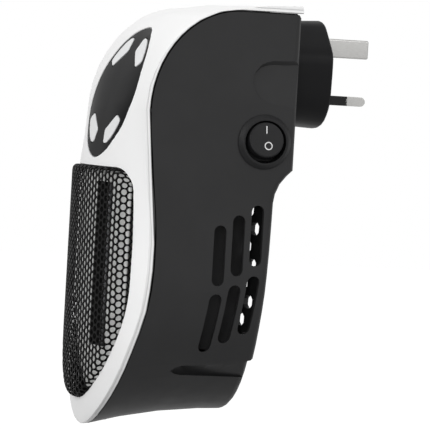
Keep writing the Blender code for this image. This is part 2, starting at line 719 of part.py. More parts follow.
def wall_x(y, z):
    """The outer wall's distance from the centre plane, with the underside's rise counted in."""
    start, end = rim_y(z), back_y(z)
    level = (y - start) / (end - start)
    return half_width(z, y, BOTTOM_Z + (LIP_Z - BOTTOM_Z) * (1 - level) ** 2)


def grip_ring(side, depth_share):
    """One ring of the grip's tool: outside the wall below nought, on the scoop's floor at one."""
    ring = []
    for forward, down in GRIP_SHARES:
        y, z = BACK_Y - GRIP_LENGTH * forward, GRIP_TOP_Z - GRIP_HEIGHT * down
        depth = GRIP_FLUSH + (GRIP_DEPTH - GRIP_FLUSH) * (1 - down)
        if depth_share < 0:
            ring.append((side * (side_x(y) + OVERRUN), y, z))
        else:
            slant = GRIP_SLANT * max(0.0, 1 - 2 * down) * depth_share
            ring.append((side * (side_x(y) + GAP / 4 - depth * depth_share), y, z - slant))
    return ring


def cut_grip(housing, side):
    """A scoop for the fingers: a slanted face along its top, and a floor that comes out below."""
    verts, faces = skin([grip_ring(side, share) for share in (-1, 0, 1)])
    cut(housing, add_object(f"grip {side}", verts, faces, BLACK_PLASTIC, smooth=False))


def groove_place(way):
    """A place along the groove, from its tip to the back, as the distance forward."""
    end = back_y(GROOVE_Z)
    return end - BODY_DEPTH * GROOVE_LENGTH_SHARE * (1 - way)


def groove_backing(side):
    """The thick part inside the wall that the groove is sunk in."""
    rings = []
    inner = GROOVE_DEPTH + GROOVE_BACKING
    for way in (-0.05, 0.12, 0.3, 0.5, 0.75, 0.97):
        y, ring = groove_place(way), []
        for rise, depth in ((1.7, WALL / 2), (1.7, inner), (-0.4, inner), (-0.4, WALL / 2)):
            z = GROOVE_Z + GROOVE_HEIGHT * rise
            ring.append((side * (wall_x(y, z) - depth), y, z))
        rings.append(ring)
    verts, faces = skin(rings)
    return add_object(f"groove backing {side}", verts, faces, BLACK_PLASTIC, smooth=False)


def cut_groove(housing, side):
    """The pointed groove above the bumper's ledge: deep at its tip, fading into the wall behind."""
    fuse(housing, groove_backing(side))
    rings = []
    for way, low, mid, high, mid_depth, low_depth in GROOVE_SHARES:
        y, ring = groove_place(way), []
        for rise, depth in ((high, -OVERRUN), (high, -GAP / 4), (mid, GROOVE_DEPTH * mid_depth),
                            (low, GROOVE_DEPTH * low_depth), (low, -OVERRUN)):
            z = GROOVE_Z + GROOVE_HEIGHT * rise
            ring.append((side * (wall_x(y, z) - depth), y, z))
        rings.append(ring)
    verts, faces = skin(rings)
    cut(housing, add_object(f"groove {side}", verts, faces, BLACK_PLASTIC, smooth=False))


def add_light_ribs(housing):
    """Two upright ribs on the back wall, which close the view across from slot to slot."""
    front = FAN_Y - FAN_DEPTH - FAN_TIP_GAP + SHROUD_DEPTH + SHROUD_WALL + 2 * GAP
    for side in (1, -1):
        near, far = side * LIGHT_RIB_X, side * (LIGHT_RIB_X + LIGHT_RIB_THICKNESS)
        rings = []
        for i in range(LIGHT_RIB_STEPS + 1):
            z = slot_z(i / LIGHT_RIB_STEPS)
            root = back_y(z) - WALL / 2
            rings.append([(near, front, z), (far, front, z), (far, root, z), (near, root, z)])
        verts, faces = skin(rings)
        fuse(housing, add_object(f"light rib {side}", verts, faces, BLACK_PLASTIC, smooth=False))


def slot_z(way):
    """A height between the top of the highest side slot and the foot of the lowest."""
    top = SLOT_UPPER_Z + SLOT_UPPER_LENGTH / 2
    foot = SLOT_LOWER_Z - 2 * SLOT_LOWER_STEP - SLOT_LOWER_LENGTH / 2
    return top + (foot - top) * way


def screw_places():
    """Places of the two upper case screws, as (name, x)."""
    return (("left", -CASE_SCREW_X), ("right", CASE_SCREW_X))


def add_screw_posts(housing):
    """Hollow posts that stand on the back wall and take the upper case screws."""
    root = BACK_Y - WALL / 2
    for name, x in screw_places():
        fuse(housing, turned(f"post {name}", ((POST_RADIUS, POST_SEAT_Y), (POST_RADIUS, root)),
                             (x, 0, CASE_SCREW_Z), (0, 1, 0), BLACK_PLASTIC, SMALL_ROUND_STEPS))
    wide, slim = SCREW_HEAD_RADIUS + GAP, SCREW_SHANK_RADIUS + GAP
    floor = POST_SEAT_Y + WALL
    bore = ((slim, POST_SEAT_Y - OVERRUN), (slim, floor), (wide, floor), (wide, BACK_Y + OVERRUN))
    for name, x in screw_places():
        cut(housing, turned(f"screw bore {name}", bore, (x, 0, CASE_SCREW_Z), (0, 1, 0), BLACK_PLASTIC,
                            SMALL_ROUND_STEPS))


def lip_screw_y():
    """Where the screw under the lip goes up, behind the parting line."""
    return rim_y(LIP_Z) + LIP_SCREW_BACK


def underside_z(y):
    """The housing's underside on the centre plane."""
    start, end = rim_y(LIP_Z), back_y(BOTTOM_Z)
    return BOTTOM_Z + (LIP_Z - BOTTOM_Z) * (1 - (y - start) / (end - start)) ** 2


def lip_seat_z():
    """The seat of the screw's head, sunk in the underside."""
    return underside_z(lip_screw_y()) + SCREW_HEAD_HEIGHT + GAP


def add_lip_screw_seat(housing):
    """A pad inside the underside, with a counterbored hole."""
    centre = (0, lip_screw_y(), lip_seat_z())
    pad = ((POST_RADIUS, -WALL / 2), (POST_RADIUS, LIP_PAD))
    fuse(housing, turned("lip pad", pad, centre, (0, 0, 1), BLACK_PLASTIC, SMALL_ROUND_STEPS))
    wide, slim = SCREW_HEAD_RADIUS + GAP, SCREW_SHANK_RADIUS + GAP
    bore = ((wide, -OVERRUN), (wide, 0.0), (slim, 0.0), (slim, OVERRUN))
    cut(housing, turned("lip screw bore", bore, centre, (0, 0, 1), BLACK_PLASTIC, SMALL_ROUND_STEPS))


def cut_crown_relief(housing):
    """Cut back the middle of the tub's top edge, where the cover's crown dips."""
    reach = side_x(SHOULDER_Y) - WALL
    low = (-reach, SHOULDER_Y - OVERRUN, HOUSING_TOP_Z - 2 * WALL)
    high = (reach, SHOULDER_Y + CREST_RELIEF, HOUSING_TOP_Z + OVERRUN)
    cut(housing, block("crown relief", low, high, BLACK_PLASTIC))


def rear_housing():
    housing = housing_shell()
    cut_crown_relief(housing)
    add_screw_posts(housing)
    add_lip_screw_seat(housing)
    cut_side_slots(housing)
    cut_intake_holes(housing)
    add_light_ribs(housing)
    cut_switch_hole(housing)
    cut_plug_seat(housing)
    for side in (1, -1):
        cut_grip(housing, side)
        cut_groove(housing, side)
    return housing


def top_z(y):
    """The cover's top on the centre plane, from the back to the crest."""
    return HOUSING_TOP_Z + COVER_TOP_RISE - BODY_HEIGHT * top_share((BACK_Y - y) / BODY_DEPTH)


def cover_stations():
    """Edge points of the cover's rows, as (y, z, way out), from the back over the top to the lip."""
    top = HOUSING_TOP_Z + GAP
    rows = [(BACK_Y + (SHOULDER_Y - BACK_Y) * i / 4, top, (0.0, 1.0)) for i in range(4)]
    crest = math.acos((CREST_Z - SHOULDER_Z) / (SHOULDER_RISE + GAP))
    for i in range(5):
        turn = crest * i / 5
        rows.append((SHOULDER_Y - (SHOULDER_REACH + GAP) * math.sin(turn),
                     SHOULDER_Z + (SHOULDER_RISE + GAP) * math.cos(turn), (-math.sin(turn), math.cos(turn))))
    for i in range(9):
        z = SHOULDER_Z + (SHOULDER_RISE + GAP) * math.cos(crest + (math.pi / 2 - crest) * i / 8)
        rows.append((rim_y(z, GAP), z, None))
    below = [z for z in straight_rows() if z < SHOULDER_Z - GAP]
    below += [ROUND_START_Z - (ROUND_START_Z - LIP_Z) * math.sin(turn) for turn in round_rows(BOTTOM_Z)]
    return rows + [(rim_y(z, GAP), z, None) for z in below]


def cover_row(station, inset):
    """One row of the cover's sheet: its edge, its band and the crown between them."""
    edge_y, edge_z, way = station
    whole = max(half_width(edge_z, edge_y, LIP_Z), GAP)
    if way is None:
        depth = min(inset, whole)
        start = (rim_y(edge_z, GAP + band(edge_z)) + depth, edge_z)
        middle = (min(front_y(edge_z) + depth, start[0] - GAP / 2), edge_z)
    else:
        forward = (BACK_Y - edge_y) / (BACK_Y - rim_y(CREST_Z, GAP))
        rise = CREST_BAND - inset
        if edge_y > SHOULDER_Y:
            rise = COVER_TOP_BAND * top_band_share((BACK_Y - edge_y) / BODY_DEPTH) - inset
        start = (edge_y + way[0] * rise, edge_z + way[1] * rise)
        y = BACK_Y + (front_y(CREST_Z) - BACK_Y) * forward
        middle = (y - way[0] * inset, top_z(y) - way[1] * inset)
    side = inset + GAP if inset else 0.0
    lift = side * max(0.0, (ROUND_START_Z - edge_z) / (ROUND_START_Z - LIP_Z))
    reach = whole * (1 - side / BODY_HALF_WIDTH)
    slim = reach * (1 - GAP / BODY_HALF_WIDTH) if inset else reach
    row = [(-reach, edge_y, edge_z + lift)]
    for u in (-1.0, -0.93, -0.82, -0.66, -0.45, -0.2, 0.0, 0.2, 0.45, 0.66, 0.82, 0.93, 1.0):
        rise = 1 - (abs(u) * slim / whole) ** CROWN_POWER_SHARE
        row.append((slim * u, start[0] + (middle[0] - start[0]) * rise,
                    start[1] + (middle[1] - start[1]) * rise + lift))
    return row + [(reach, edge_y, edge_z + lift)]


def cover_shell():
    """The crowned cover: an outer and an inner sheet joined round their edges."""
    stations = cover_stations()
    outer = [cover_row(station, 0.0) for station in stations]
    inner = [cover_row(station, WALL) for station in stations]
    verts, faces = skin(outer, closed=False, caps=False)
    more, others = skin(inner, closed=False, caps=False)
    shift = len(verts)
    faces += [tuple(i + shift for i in face) for face in others]
    wide, tall = len(outer[0]), len(outer)
    loop = [i for i in range(wide)] + [row * wide + wide - 1 for row in range(1, tall)]
    loop += [(tall - 1) * wide + i for i in range(wide - 2, -1, -1)]
    loop += [row * wide for row in range(tall - 2, 0, -1)]
    for i, a in enumerate(loop):
        b = loop[(i + 1) % len(loop)]
        faces.append((a, b, b + shift, a + shift))
    return add_object("front_cover", verts + more, faces, WHITE_PLASTIC)


def oval(grow):
    """The control panel's outline in the front view: an oval drawn out a little at its ends."""
    points = []
    for i in range(PANEL_STEPS):
        turn = math.tau * i / PANEL_STEPS
        across, up = math.cos(turn), math.sin(turn)
        reach = (abs(across) ** FASCIA_POWER + abs(up) ** FASCIA_POWER) ** (-1 / FASCIA_POWER)
        points.append(((FASCIA_HALF_WIDTH + grow) * across * reach,
                       FASCIA_Z + (FASCIA_HALF_HEIGHT + grow) * up * reach))
    return points


def outlet_outline(grow):
    """The outlet's outline in the front view: flat on top, round below."""
    width = GRILLE_HALF_WIDTH + grow
    top = GRILLE_TOP_Z + grow
    corner = GRILLE_CORNER + grow
    low = GRILLE_TOP_Z - GRILLE_HEIGHT - grow
    turn_z = GRILLE_TOP_Z - GRILLE_HEIGHT * GRILLE_ROUND_SHARE
    right = []
    for i in range(OUTLET_CORNER_STEPS + 1):
        turn = math.pi / 2 * (1 - i / OUTLET_CORNER_STEPS)
        right.append((width - corner + corner * math.cos(turn), top - corner + corner * math.sin(turn)))
    for i in range(OUTLET_ROUND_STEPS + 1):
        turn = math.pi / 2 * i / OUTLET_ROUND_STEPS
        right.append((width * math.cos(turn), turn_z - (turn_z - low) * math.sin(turn)))
    left = [(-x, z) for x, z in reversed(right[:-1])]
    return [(0.0, top)] + right + left


def skin_slab(name, outline, out, inward, spec, rings=4):
    """A plate that follows the cover's surface, between two distances from it."""
    mid_x = sum(x for x, _ in outline) / len(outline)
    mid_z = sum(z for _, z in outline) / len(outline)
    levels = []
    for i in range(1, rings + 1):
        levels.append([on_cover(mid_x + (x - mid_x) * i / rings, mid_z + (z - mid_z) * i / rings, out)
                       for x, z in outline])
    for i in range(rings, 0, -1):
        levels.append([on_cover(mid_x + (x - mid_x) * i / rings, mid_z + (z - mid_z) * i / rings, -inward)
                       for x, z in outline])
    verts, faces = skin(levels)
    return add_object(name, verts, faces, spec)


def straight_cutter(name, outline, near, far):
    """A straight cutter along Y with the given outline."""
    return prism(name, outline, near, far, 'Y', WHITE_PLASTIC)


def front_cover():
    cover = cover_shell()
    cut(cover, skin_slab("fascia opening", oval(GAP), OVERRUN, WALL + OVERRUN, WHITE_PLASTIC, 3))
    far = BACK_Y - BODY_DEPTH - OVERRUN
    near = rim_y(GRILLE_TOP_Z) + OVERRUN
    cut(cover, straight_cutter("outlet opening", outlet_outline(GAP), far, near))
    add_cover_bosses(cover)
    return cover


def add_cover_bosses(cover):
    """Bosses for the two upper screws and a block for the screw under the lip."""
    root = cover_y(CASE_SCREW_X + POST_RADIUS, CASE_SCREW_Z + POST_RADIUS) + WALL / 2
    slim = SCREW_SHANK_RADIUS + GAP
    for name, x in screw_places():
        fuse(cover, turned(f"boss {name}", ((POST_RADIUS, root), (POST_RADIUS, POST_SEAT_Y - GAP)),
                           (x, 0, CASE_SCREW_Z), (0, 1, 0), WHITE_PLASTIC, SMALL_ROUND_STEPS))
        bore = ((slim, POST_SEAT_Y - POST_GRIP - 4 * GAP), (slim, POST_SEAT_Y + OVERRUN))
        cut(cover, turned(f"pilot {name}", bore, (x, 0, CASE_SCREW_Z), (0, 1, 0), WHITE_PLASTIC,
                          SMALL_ROUND_STEPS))
    low_z, high_z = lip_block_span()
    low = (-POST_RADIUS, front_y(low_z) + WALL / 2, low_z)
    high = (POST_RADIUS, lip_screw_y() + POST_RADIUS, high_z)
    fuse(cover, block("lip block", low, high, WHITE_PLASTIC))
    cut(cover, turned("lip pilot", ((slim, -OVERRUN), (slim, 2 * OVERRUN)), (0, lip_screw_y(), low_z),
                      (0, 0, 1), WHITE_PLASTIC, SMALL_ROUND_STEPS))


def lip_block_span():
    """The underside and top of the cover's block, between the housing's pad and the grille."""
    top = GRILLE_TOP_Z - GRILLE_HEIGHT - GRILLE_FLANGE - LIP_BLOCK_TOP
    return lip_seat_z() + LIP_PAD + GAP, top


def control_fascia():
    """The oval panel: a plate in the cover's opening on a flange that sits behind it."""
    steps_out = [(scale, -FASCIA_SUNK, 0.0) for scale in (0.15, 0.35, 0.55, 0.75, 0.9, 1.0)]
    flange = WALL + GAP
    back = flange + FLANGE_THICKNESS
    steps_out += [(1.0, -flange, 0.0), (1.0, -flange, FASCIA_FLANGE), (1.0, -back, FASCIA_FLANGE)]
    steps_out += [(0.75, -back, 0.0), (0.4, -back, 0.0)]
    rings = []
    for scale, out, grow in steps_out:
        ring = oval(grow)
        rings.append([on_cover(x * scale, FASCIA_Z + (z - FASCIA_Z) * scale, out) for x, z in ring])
    verts, faces = skin(rings)
    fascia = add_object("control_fascia", verts, faces, GLOSS_BLACK)
    for name, right, up in button_names():
        tool = skin_slab(f"well {name}", button_outline(right, up, GAP), OVERRUN, WALL + OVERRUN,
                         GLOSS_BLACK, 1)
        cut(fascia, tool)
    return fascia


def button_names():
    return (("button_power", 1, 1), ("button_timer", -1, 1), ("button_cooler", 1, -1),
            ("button_warmer", -1, -1))


def button_outline(right, up, grow):
    """A leaf between the panel's edge and its centre, in one quarter of the oval."""
    points = [(x * FASCIA_HALF_WIDTH, z * FASCIA_HALF_HEIGHT) for x, z in BUTTON_SHARES]
    mid_x = sum(x for x, _ in points) / len(points)
    mid_z = sum(z for _, z in points) / len(points)
    grown = []
    for x, z in points:
        away = Vector((x - mid_x, z - mid_z))
        away = away.normalized() * grow * 1.3
        grown.append((right * (x + away.x), FASCIA_Z + BUTTON_RISE + up * (z + away.y)))
    return grown if right * up > 0 else grown[::-1]


def buttons():
    for name, right, up in button_names():
        skin_slab(name, button_outline(right, up, -GAP / 4), BUTTON_PROUD - FASCIA_SUNK, BUTTON_DEPTH,
                  PALE_BUTTON, 1)


def grille_face_y(x):
    """The grille's crowned front."""
    front = BACK_Y - BODY_DEPTH - GRILLE_PROUD
    return front + GRILLE_CROWN * (x / GRILLE_HALF_WIDTH) ** 2


def outlet_grille():
    """A drawn sheet: flange behind the cover, upright side, fold and crowned face with holes."""
    mid_z = GRILLE_TOP_Z - GRILLE_HEIGHT / 2
    flange = WALL + GAP
    rings = [[behind_cover(x, z, flange) for x, z in outlet_outline(GRILLE_FLANGE)]]
    rings.append([behind_cover(x, z, flange) for x, z in outlet_outline(0.0)])
    inner = outlet_outline(0.0)
    rings.append([(x, grille_face_y(x) + GRILLE_FOLD, z) for x, z in inner])
    for scale, inset in ((1.0, GRILLE_FOLD), (0.72, 0.0), (0.38, 0.0)):
        ring = []
        for x, z in outlet_outline(-inset):
            x, z = x * scale, mid_z + (z - mid_z) * (scale if scale < 1 else 1.0)
            ring.append((x, grille_face_y(x), z))
        rings.append(ring)
    verts, faces = skin(rings, caps=False)
    last = len(rings) - 1
    count = len(rings[0])
    faces.append(tuple(range(last * count, (last + 1) * count)))
    grille = thicken(add_object("outlet_grille", verts, faces, GRILLE_BLACK), GRILLE_SHEET)
    cut(grille, grille_holes())
    return grille


def grille_hole_places():
    """Centres of the grille's holes in staggered columns, kept inside its face."""
    step_x = GRILLE_PITCH * math.sqrt(3) / 2
    columns = int((GRILLE_HALF_WIDTH - GRILLE_PITCH) / step_x)
    places = []
    for column in range(-columns, columns + 1):
        x = column * step_x
        shift = GRILLE_PITCH / 2 if column % 2 else 0.0
        for row in range(-10, 11):
            z = GRILLE_TOP_Z - GRILLE_HEIGHT / 2 + row * GRILLE_PITCH + shift
            if inside_outlet(x, z, GRILLE_HOLE / 2 + GRILLE_FOLD):
                places.append((x, z))
    return places


def inside_outlet(x, z, margin):
    """Whether a point lies inside the outlet's outline by at least a margin."""
    turn_z = GRILLE_TOP_Z - GRILLE_HEIGHT * GRILLE_ROUND_SHARE
    if z > GRILLE_TOP_Z - margin or abs(x) > GRILLE_HALF_WIDTH - margin:
        return False
    if z > GRILLE_TOP_Z - GRILLE_CORNER:
        over_x = abs(x) - (GRILLE_HALF_WIDTH - GRILLE_CORNER)
        over_z = z - (GRILLE_TOP_Z - GRILLE_CORNER)
        return over_x <= 0 or math.hypot(over_x, over_z) < GRILLE_CORNER - margin
    if z > turn_z:
        return True
    low = GRILLE_HEIGHT * (1 - GRILLE_ROUND_SHARE) - margin
    return (x / (GRILLE_HALF_WIDTH - margin)) ** 2 + ((turn_z - z) / low) ** 2 < 1


def grille_holes():
    """One tool with a six-sided rod for each hole."""
    far = BACK_Y - BODY_DEPTH - GRILLE_PROUD - OVERRUN
    near = BACK_Y - BODY_DEPTH + GRILLE_CROWN
    verts, faces = [], []
    for x, z in grille_hole_places():
        rings = []
        for y in (far, near):
            rings.append([(x + GRILLE_HOLE / 2 * math.cos(math.tau * (i + 0.5) / 6), y,
                           z + GRILLE_HOLE / 2 * math.sin(math.tau * (i + 0.5) / 6)) for i in range(6)])
        more, sides = skin(rings)
        faces += [tuple(i + len(verts) for i in face) for face in sides]
        verts += more
    return add_object("grille holes", verts, faces, GRILLE_BLACK, smooth=False)


def frame_outline(width, height, z):
    return ((-width / 2, z - height / 2), (width / 2, z - height / 2),
            (width / 2, z + height / 2), (-width / 2, z + height / 2))


def outlet_baffle():
    """The pale plate behind the grille, with a window and a short duct to the heater."""
    back = BAFFLE_Y + BAFFLE_THICKNESS
    plate = prism("outlet_baffle", outlet_outline(-GRILLE_SHEET - GAP * 2), BAFFLE_Y, back, 'Y', WHITE_PLASTIC)
    rim = frame_outline(WINDOW_WIDTH + WALL, WINDOW_HEIGHT + WALL, WINDOW_Z)
    fuse(plate, prism("duct", rim, BAFFLE_Y + BAFFLE_THICKNESS / 2, back + DUCT_DEPTH, 'Y', WHITE_PLASTIC))
    hole = frame_outline(WINDOW_WIDTH, WINDOW_HEIGHT, WINDOW_Z)
    return cut(plate, prism("window", hole, BAFFLE_Y - OVERRUN, back + DUCT_DEPTH + OVERRUN, 'Y', WHITE_PLASTIC))


def heater_start_y():
    return BAFFLE_Y + BAFFLE_THICKNESS + DUCT_DEPTH + GAP


def heater_frame():
    """The open frame that carries the element behind the duct."""
    start = heater_start_y()
    end = start + HEATER_FRAME_DEPTH
    outer = frame_outline(HEATER_FRAME_WIDTH, HEATER_FRAME_HEIGHT, WINDOW_Z)
    inner = frame_outline(HEATER_FRAME_WIDTH - 2 * HEATER_FRAME_WALL,
                          HEATER_FRAME_HEIGHT - 2 * HEATER_FRAME_WALL, WINDOW_Z)
    frame = prism("heater_frame", outer, start, end, 'Y', CERAMIC)
    return cut(frame, prism("heater bay", inner, start - OVERRUN, end + OVERRUN, 'Y', CERAMIC))


def heating_element():
    """A finned block: a spine with fins on both sides."""
    height = HEATER_FRAME_HEIGHT - 2 * HEATER_FRAME_WALL - 2 * GAP
    reach = HEATER_FRAME_WIDTH / 2 - HEATER_FRAME_WALL - GAP
    spine = HEATER_SPINE_WIDTH / 2
    pitch = height / HEATER_FINS
    fin = pitch * HEATER_FIN_SHARE
    right = []
    for i in range(HEATER_FINS):
        low = WINDOW_Z - height / 2 + i * pitch
        right += [(reach, low), (reach, low + fin), (spine, low + fin), (spine, low + pitch)]
    right[-1] = (spine, WINDOW_Z + height / 2 - pitch + fin)
    right = right[:-1]
    left = [(-x, z) for x, z in reversed(right)]
    start = heater_start_y() + GAP
    return prism("heating_element", right + left, start, start + HEATER_FRAME_DEPTH - 2 * GAP, 'Y', ALUMINIUM)


def thermal_cutout():
    """The small safety switch on the heater frame's side."""
    start = heater_start_y() + CUTOUT_DEPTH
    x = HEATER_FRAME_WIDTH / 2 + GAP
    low = (x, start, WINDOW_Z - CUTOUT_HEIGHT / 2)
    high = (x + CUTOUT_WIDTH / 2, start + CUTOUT_DEPTH, WINDOW_Z + CUTOUT_HEIGHT / 2)
    return soften(block("thermal_cutout", low, high, COPPER_TONE), CUTOUT_DEPTH / 8, 1)


def fan_impeller():
    """Hub cup and swept blades on one body."""
    hub = turned("impeller", ((FAN_HUB_RADIUS, 0.0), (FAN_HUB_RADIUS, FAN_DEPTH)),
                 (0, FAN_Y - FAN_DEPTH, FAN_Z), (0, 1, 0), BLACK_PLASTIC)
    for i in range(FAN_BLADES):
        fuse(hub, fan_blade(i))
    bore = SHAFT_RADIUS + SHAFT_GAP
    cut(hub, turned("hub bore", ((bore, -OVERRUN), (bore, FAN_DEPTH + OVERRUN)),
                    (0, FAN_Y - FAN_DEPTH, FAN_Z), (0, 1, 0), BLACK_PLASTIC, SMALL_ROUND_STEPS))
    return hub


def fan_blade(index):
    """A pitched blade, thin at its edges, that leans round as it goes out."""
    sections = []
    for share in (0.0, 0.5, 1.0):
        radius = FAN_HUB_RADIUS - WALL / 2 + (FAN_TIP_RADIUS - FAN_HUB_RADIUS + WALL / 2) * share
        lead = math.radians(FAN_BLADE_SWEEP_DEG) * (0.5 + share * 0.25)
        turn = math.tau * index / FAN_BLADES + share * math.radians(FAN_BLADE_SWEEP_DEG) / 3
        ring = []
        for side, edge in ((-1, -1), (0, -1), (1, -1), (1, 1), (0, 1), (-1, 1)):
            angle = turn + side * lead / 2 * 0.9
            thick = FAN_BLADE_THICKNESS / 2 * (1.0 if side == 0 else 0.5)
            y = FAN_Y - FAN_DEPTH / 2 + side * (FAN_DEPTH / 2 - FAN_BLADE_THICKNESS) + edge * thick
            ring.append((radius * math.sin(angle), y, FAN_Z + radius * math.cos(angle)))
        sections.append(ring)
    verts, faces = skin(sections)
    return add_object(f"blade {index}", verts, faces, BLACK_PLASTIC)


def motor_shaft():
    length = FAN_DEPTH + MOTOR_NOSE_LENGTH + WALL
    start = FAN_Y - FAN_DEPTH + GAP
    return turned("motor_shaft", ((SHAFT_RADIUS, 0.0), (SHAFT_RADIUS, length)), (0, start, FAN_Z),
                  (0, 1, 0), STEEL, SMALL_ROUND_STEPS)


def motor_front_y():
    return FAN_Y + WALL


def fan_motor():
    """A can motor with a nose that the shaft comes out of."""
    front = motor_front_y()
    nose = front - MOTOR_NOSE_LENGTH
    profile = ((MOTOR_NOSE_RADIUS, nose), (MOTOR_NOSE_RADIUS, front), (MOTOR_RADIUS, front),
               (MOTOR_RADIUS, front + MOTOR_LENGTH), (MOTOR_NOSE_RADIUS, front + MOTOR_LENGTH),
               (MOTOR_NOSE_RADIUS, front + MOTOR_LENGTH + MOTOR_NOSE_LENGTH))
    motor = turned("fan_motor", profile, (0, 0, FAN_Z), (0, 1, 0), STEEL)
    bore = SHAFT_RADIUS + SHAFT_GAP
    return cut(motor, turned("shaft bore", ((bore, nose - OVERRUN), (bore, front + WALL * 2)), (0, 0, FAN_Z),
                             (0, 1, 0), STEEL, SMALL_ROUND_STEPS))


def fan_shroud():
    """Ring duct with arms to the motor's collar and ears to the housing's sides."""
    inner = FAN_TIP_RADIUS + FAN_TIP_GAP
    outer = inner + SHROUD_WALL
    front = FAN_Y - FAN_DEPTH - FAN_TIP_GAP
    back = front + SHROUD_DEPTH
    steps = 28
    ring = turned("fan_shroud", ((inner, front), (outer, front), (outer, back), (inner, back)), (0, 0, FAN_Z),
                  (0, 1, 0), BLACK_PLASTIC, steps, closed=True)
    collar_in = MOTOR_RADIUS + GAP
    collar_out = collar_in + SHROUD_WALL
    arm_back = back + SHROUD_WALL
    collar_front = motor_front_y() + GAP
    collar = turned("motor collar", ((collar_in, collar_front), (collar_out, collar_front),
                                     (collar_out, arm_back), (collar_in, arm_back)), (0, 0, FAN_Z), (0, 1, 0),
                    BLACK_PLASTIC, ROUND_STEPS, closed=True)
    fuse(ring, collar)
    for i in range(SHROUD_ARMS):
        turn = math.tau * (i + 0.5) / SHROUD_ARMS
        arm = block(f"arm {i}", (collar_in + SHROUD_WALL / 2, back - SHROUD_WALL, -SHROUD_ARM_WIDTH / 2),
                    (outer - SHROUD_WALL / 2, arm_back - GAP, SHROUD_ARM_WIDTH / 2), BLACK_PLASTIC)
        arm.data.transform(Matrix.Translation((0, 0, FAN_Z)) @ Matrix.Rotation(turn, 4, 'Y'))
        fuse(ring, arm)
    wall_in = side_x(front) - WALL - GAP
    for side in (1, -1):
        low_x, high_x = outer - SHROUD_WALL / 2, wall_in
        xs = (low_x, high_x) if side > 0 else (-high_x, -low_x)
        ear = block(f"ear {side}", (xs[0], front + GAP, FAN_Z - SHROUD_EAR_WIDTH / 2),
                    (xs[1], front + SHROUD_EAR_THICKNESS, FAN_Z + SHROUD_EAR_WIDTH / 2), BLACK_PLASTIC)
        fuse(ring, ear)
    return ring


def switch_bezel():
    """The raised collar and the barrel that holds the rocker."""
    barrel = BEZEL_BORE_RADIUS + BEZEL_BARREL_WALL
    profile = ((BEZEL_RADIUS, GAP), (BEZEL_RADIUS - GAP, BEZEL_RISE / 3), (BEZEL_TOP_RADIUS, BEZEL_RISE),
               (BEZEL_BORE_RADIUS, BEZEL_RISE), (BEZEL_BORE_RADIUS, -2 * WALL), (barrel, -2 * WALL),
               (barrel, GAP))
    return at_switch(turned("switch_bezel", profile, (0, 0, 0), (1, 0, 0), BLACK_PLASTIC, 28, closed=True))


def switch_body():
    """The switch behind the bezel."""
    front = -2 * WALL - GAP
    half = BEZEL_BORE_RADIUS
    body = block("switch_body", (front - SWITCH_DEPTH, -half, -half), (front, half, half), GLOSS_BLACK)
    return soften(at_switch(body), WALL / 3, 1)


def rocker():
    """The round rocker, with its lower end standing proud."""
    profile = ((ROCKER_BASE_RADIUS * 0.8, -ROCKER_DROP), (ROCKER_BASE_RADIUS, 0.0),
               (ROCKER_FACE_RADIUS, ROCKER_RISE - GAP), (ROCKER_FACE_RADIUS - GAP, ROCKER_RISE))
    piece = turned("rocker", profile, (0, 0, 0), (1, 0, 0), GLOSS_BLACK, 28)
    pivot = Matrix.Translation((-ROCKER_PIVOT_DEPTH, 0, 0))
    tilt = Matrix.Rotation(-math.radians(ROCKER_TILT_DEG), 4, 'Y')
    piece.data.transform(pivot @ tilt @ pivot.inverted())
    return at_switch(piece)


def control_board():
    """The board behind the fascia, carrying the display."""
    back = CONTROL_BOARD_Y + BOARD_THICKNESS
    return block("control_board", (-CONTROL_BOARD_HALF_WIDTH, CONTROL_BOARD_Y, CONTROL_BOARD_LOW_Z),
                 (CONTROL_BOARD_HALF_WIDTH, back, CONTROL_BOARD_HIGH_Z), BOARD_GREEN)


def display_module():
    low_y = CONTROL_BOARD_Y - GAP
    mid = (CONTROL_BOARD_LOW_Z + CONTROL_BOARD_HIGH_Z) / 2
    front = max(cover_y(0.0, mid + DISPLAY_HEIGHT / 2), cover_y(DISPLAY_WIDTH / 2, mid)) \
        + WALL + FLANGE_THICKNESS + GAP * 6
    return block("display_module", (-DISPLAY_WIDTH / 2, front, mid - DISPLAY_HEIGHT / 2),
                 (DISPLAY_WIDTH / 2, low_y, mid + DISPLAY_HEIGHT / 2), GLOSS_BLACK)


def power_board():
    """The supply board with its relay and capacitor, joined to it."""
    back = POWER_BOARD_Y + BOARD_THICKNESS
    half = CASE_SCREW_X - POST_RADIUS - GAP
    board = block("power_board", (-half, POWER_BOARD_Y, POWER_BOARD_LOW_Z),
                  (half, back, POWER_BOARD_HIGH_Z), BOARD_GREEN)
    relay = block("relay", (-half + WALL, POWER_BOARD_Y - DISPLAY_HEIGHT, POWER_BOARD_LOW_Z + WALL),
                  (-WALL * 2, POWER_BOARD_Y + GAP, POWER_BOARD_LOW_Z + DISPLAY_WIDTH), BOARD_GREEN)
    fuse(board, relay)
    radius = POST_RADIUS
    centre = (half / 2, POWER_BOARD_Y - DISPLAY_HEIGHT, POWER_BOARD_HIGH_Z - radius * 3)
    capacitor = turned("capacitor", ((radius, 0.0), (radius, DISPLAY_HEIGHT + GAP)), centre, (0, 1, 0),
                       BOARD_GREEN, SMALL_ROUND_STEPS)
    return fuse(board, capacitor)


def plug_ring(share, y):
    """The plug's outline at a share of its full size, at one distance along its axis."""
    right = [(x * PLUG_RADIUS * share, y, z * PLUG_RADIUS * share) for x, z in PLUG_SHARES]
    return right + [(-x, y, z) for x, _, z in reversed(right)]


